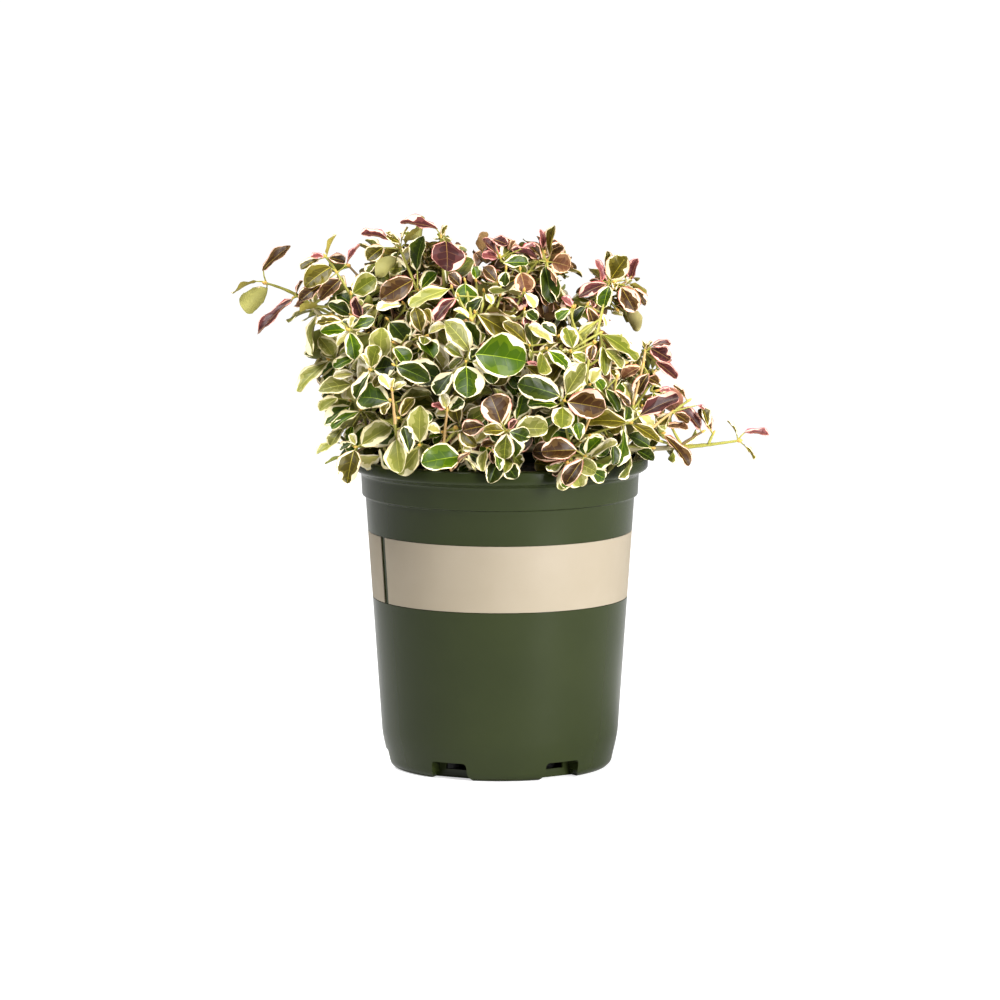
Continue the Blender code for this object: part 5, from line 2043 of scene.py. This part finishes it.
@dataclass(frozen=True)
class PottingMix:
    """The potting mix: a crumbly domed top on a plug, with loose chips of bark."""

    top: float = 164.0 * MM
    rim_drop: float = 2.5 * MM
    crown_radius: float = 24.0 * MM
    rim_radius: float = 75.6 * MM
    foot: tuple[float, float] = (64.0 * MM, 20.0 * MM)
    crumb: float = 1.1 * MM
    rings: int = 70
    steps: int = 150
    chips: int = 420
    soil: Finish = Finish(
        "potting_mix",
        (52, 40, 30),
        (0.85, 1.0),
        relief=(500.0, 2200.0, 0.7),
        relief_depth=0.6 * MM,
        second=(24, 18, 14),
        colour_scale=300.0,
    )
    chip: Finish = Finish(
        "bark_chip",
        (74, 52, 36),
        (0.8, 0.95),
        relief=(600.0, 2600.0, 0.6),
        relief_depth=0.3 * MM,
    )

    def height_at(self, radius: float) -> float:
        """The plain height of the surface at a radius."""
        share = max(radius - self.crown_radius, 0.0) / (self.rim_radius - self.crown_radius)
        return self.top - self.rim_drop * share

    def build_plug(self) -> bpy.types.Object:
        """Builds the plug with its crumbly top."""
        angles = np.arange(self.steps) * math.tau / self.steps
        radii = np.linspace(0.8 * MM, self.rim_radius, self.rings)
        rows = []
        for radius in radii:
            row = []
            for angle in angles:
                x, y = radius * math.cos(angle), radius * math.sin(angle)
                bumps = noise.turbulence(Vector((x, y, 0.0)) * 260.0, 3, False)
                edge = smooth_step((self.rim_radius - radius) / (2.0 * MM))
                row.append((x, y, self.height_at(radius) - self.crumb * bumps * edge))
            rows.append(row)
        foot_radius, foot_height = self.foot
        rows.append([(foot_radius * math.cos(a), foot_radius * math.sin(a), foot_height) for a in angles])
        vertices = np.concatenate([*map(np.array, rows), [(0.0, 0.0, self.top - 0.5 * MM), (0.0, 0.0, foot_height)]])
        low, after = np.arange(self.steps), (np.arange(self.steps) + 1) % self.steps
        quads = [np.column_stack((low, low + self.steps, after + self.steps, after)) + row * self.steps
                 for row in range(len(rows) - 1)]
        last = (len(rows) - 1) * self.steps
        middle, under = len(vertices) - 2, len(vertices) - 1
        caps = np.concatenate((np.column_stack((low, after, np.full(self.steps, middle))),
                               np.column_stack((after + last, low + last, np.full(self.steps, under)))))
        parts = MeshParts()
        quads = np.concatenate(quads)
        parts.add(vertices, quads, caps, np.zeros(len(quads), int), np.zeros(len(caps), int))
        return parts.build("potting_mix_top", [self.soil.material()], 180.0)

    def build_chips(self) -> bpy.types.Object:
        """Builds the loose chips, each a bent splinter half sunk in the mix."""
        rng = random.Random("chips")
        parts = MeshParts()
        for _ in range(self.chips):
            radius = self.rim_radius * math.sqrt(rng.uniform(0.03, 0.9))
            angle = rng.uniform(0.0, math.tau)
            at = Vector((radius * math.cos(angle), radius * math.sin(angle), self.height_at(radius) - 0.4 * MM))
            way = Vector((rng.uniform(-1, 1), rng.uniform(-1, 1), rng.uniform(-0.2, 0.35))).normalized()
            size = rng.uniform(1.0, 4.5) * MM
            line = Curve(at - way * size * 0.5, at + UP * rng.uniform(0.0, 0.5) * MM, at + way * size * 0.5)
            thick = rng.uniform(0.35, 0.8) * MM
            radii = np.array([[thick * rng.uniform(0.5, 1.3) for _ in range(5)] for _ in range(4)])
            vertices, quads, triangles = ring_mesh(line.points(4), radii, 5)
            parts.add(vertices, quads, triangles, np.zeros(len(quads), int), np.zeros(len(triangles), int))
        return parts.build("bark_chips", [self.chip.material()], 30.0)

    def build(self) -> None:
        """Builds and places the mix."""
        for piece in (self.build_plug(), self.build_chips()):
            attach(piece, "root")
            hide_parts("potting_mix")
            LOG.info("%s: %d faces", piece.name, len(piece.data.polygons))


@dataclass(frozen=True)
class Softbox:
    """One soft studio light."""

    name: str
    place: tuple[float, float, float]
    size: tuple[float, float]
    power: float

    def put(self) -> None:
        """Makes the light and turns it to the plant."""
        data = bpy.data.lights.new(self.name, "AREA")
        data.shape = "RECTANGLE"
        data.size, data.size_y = self.size
        data.energy = self.power
        light = bpy.data.objects.new(self.name, data)
        light.location = self.place
        aim = Vector((0.0, 0.0, 0.17)) - Vector(self.place)
        light.rotation_euler = aim.to_track_quat("-Z", "Y").to_euler()
        bpy.context.scene.collection.objects.link(light)


@dataclass(frozen=True)
class Studio:
    """The plain pale floor, the soft lights and the even white surroundings."""

    floor_radius: float = 1.05
    floor_back: float = 0.35
    floor_drop: float = 0.1 * MM
    floor: Finish = Finish(
        "pale_floor",
        (208, 208, 208),
        (0.75, 0.85),
        relief=(30.0, 90.0, 0.2),
        relief_depth=0.01 * MM,
    )
    floor_glow: float = 0.6
    surroundings: float = 0.25
    backdrop: float = 1.05
    lights: tuple[Softbox, ...] = (
        Softbox("key", (1.2, -1.3, 0.5), (0.5, 0.96), 54.0),
        Softbox("side", (1.6, -0.7, 1.3), (0.9, 0.9), 15.0),
        Softbox("top", (-0.85, -0.4, 1.95), (1.2, 1.0), 66.0),
    )

    def build(self) -> None:
        """Sets up the floor, the lights and the surroundings."""
        shape = bmesh.new()
        middle = Matrix.Translation((0.0, self.floor_back, -self.floor_drop))
        bmesh.ops.create_circle(shape, cap_ends=True, segments=96, radius=self.floor_radius, matrix=middle)
        floor = object_from("studio_floor", shape)
        pale = self.floor.material()
        shader = pale.node_tree.nodes["Principled BSDF"]
        shader.inputs["Emission Strength"].default_value = self.floor_glow
        path = pale.node_tree.nodes.new("ShaderNodeLightPath")
        pale.node_tree.links.new(path.outputs["Is Camera Ray"], shader.inputs["Emission Color"])
        floor.data.materials.append(pale)
        for light in self.lights:
            light.put()
        world = bpy.data.worlds.new("studio")
        world.use_nodes = True
        nodes, links = world.node_tree.nodes, world.node_tree.links
        background = nodes["Background"]
        background.inputs["Color"].default_value = (1.0, 1.0, 1.0, 1.0)
        seen = nodes.new("ShaderNodeLightPath")
        strength = nodes.new("ShaderNodeMapRange")
        strength.inputs["To Min"].default_value = self.surroundings
        strength.inputs["To Max"].default_value = self.backdrop
        links.new(seen.outputs["Is Camera Ray"], strength.inputs["Value"])
        links.new(strength.outputs["Result"], background.inputs["Strength"])
        scene = bpy.context.scene
        scene.world = world
        scene.view_settings.view_transform = "Standard"
        scene.view_settings.look = "None"


def main() -> None:
    """Builds the camera, the plant from the pot up, and the studio."""
    logging.basicConfig(level=logging.INFO, format="%(message)s")
    CAMERA.put()
    pot = NurseryPot()
    pot.build_pot()
    pot.build_band()
    PottingMix().build()
    Limbs().build()
    Crown().build()
    Studio().build()


if __name__ == "__main__":
    main()
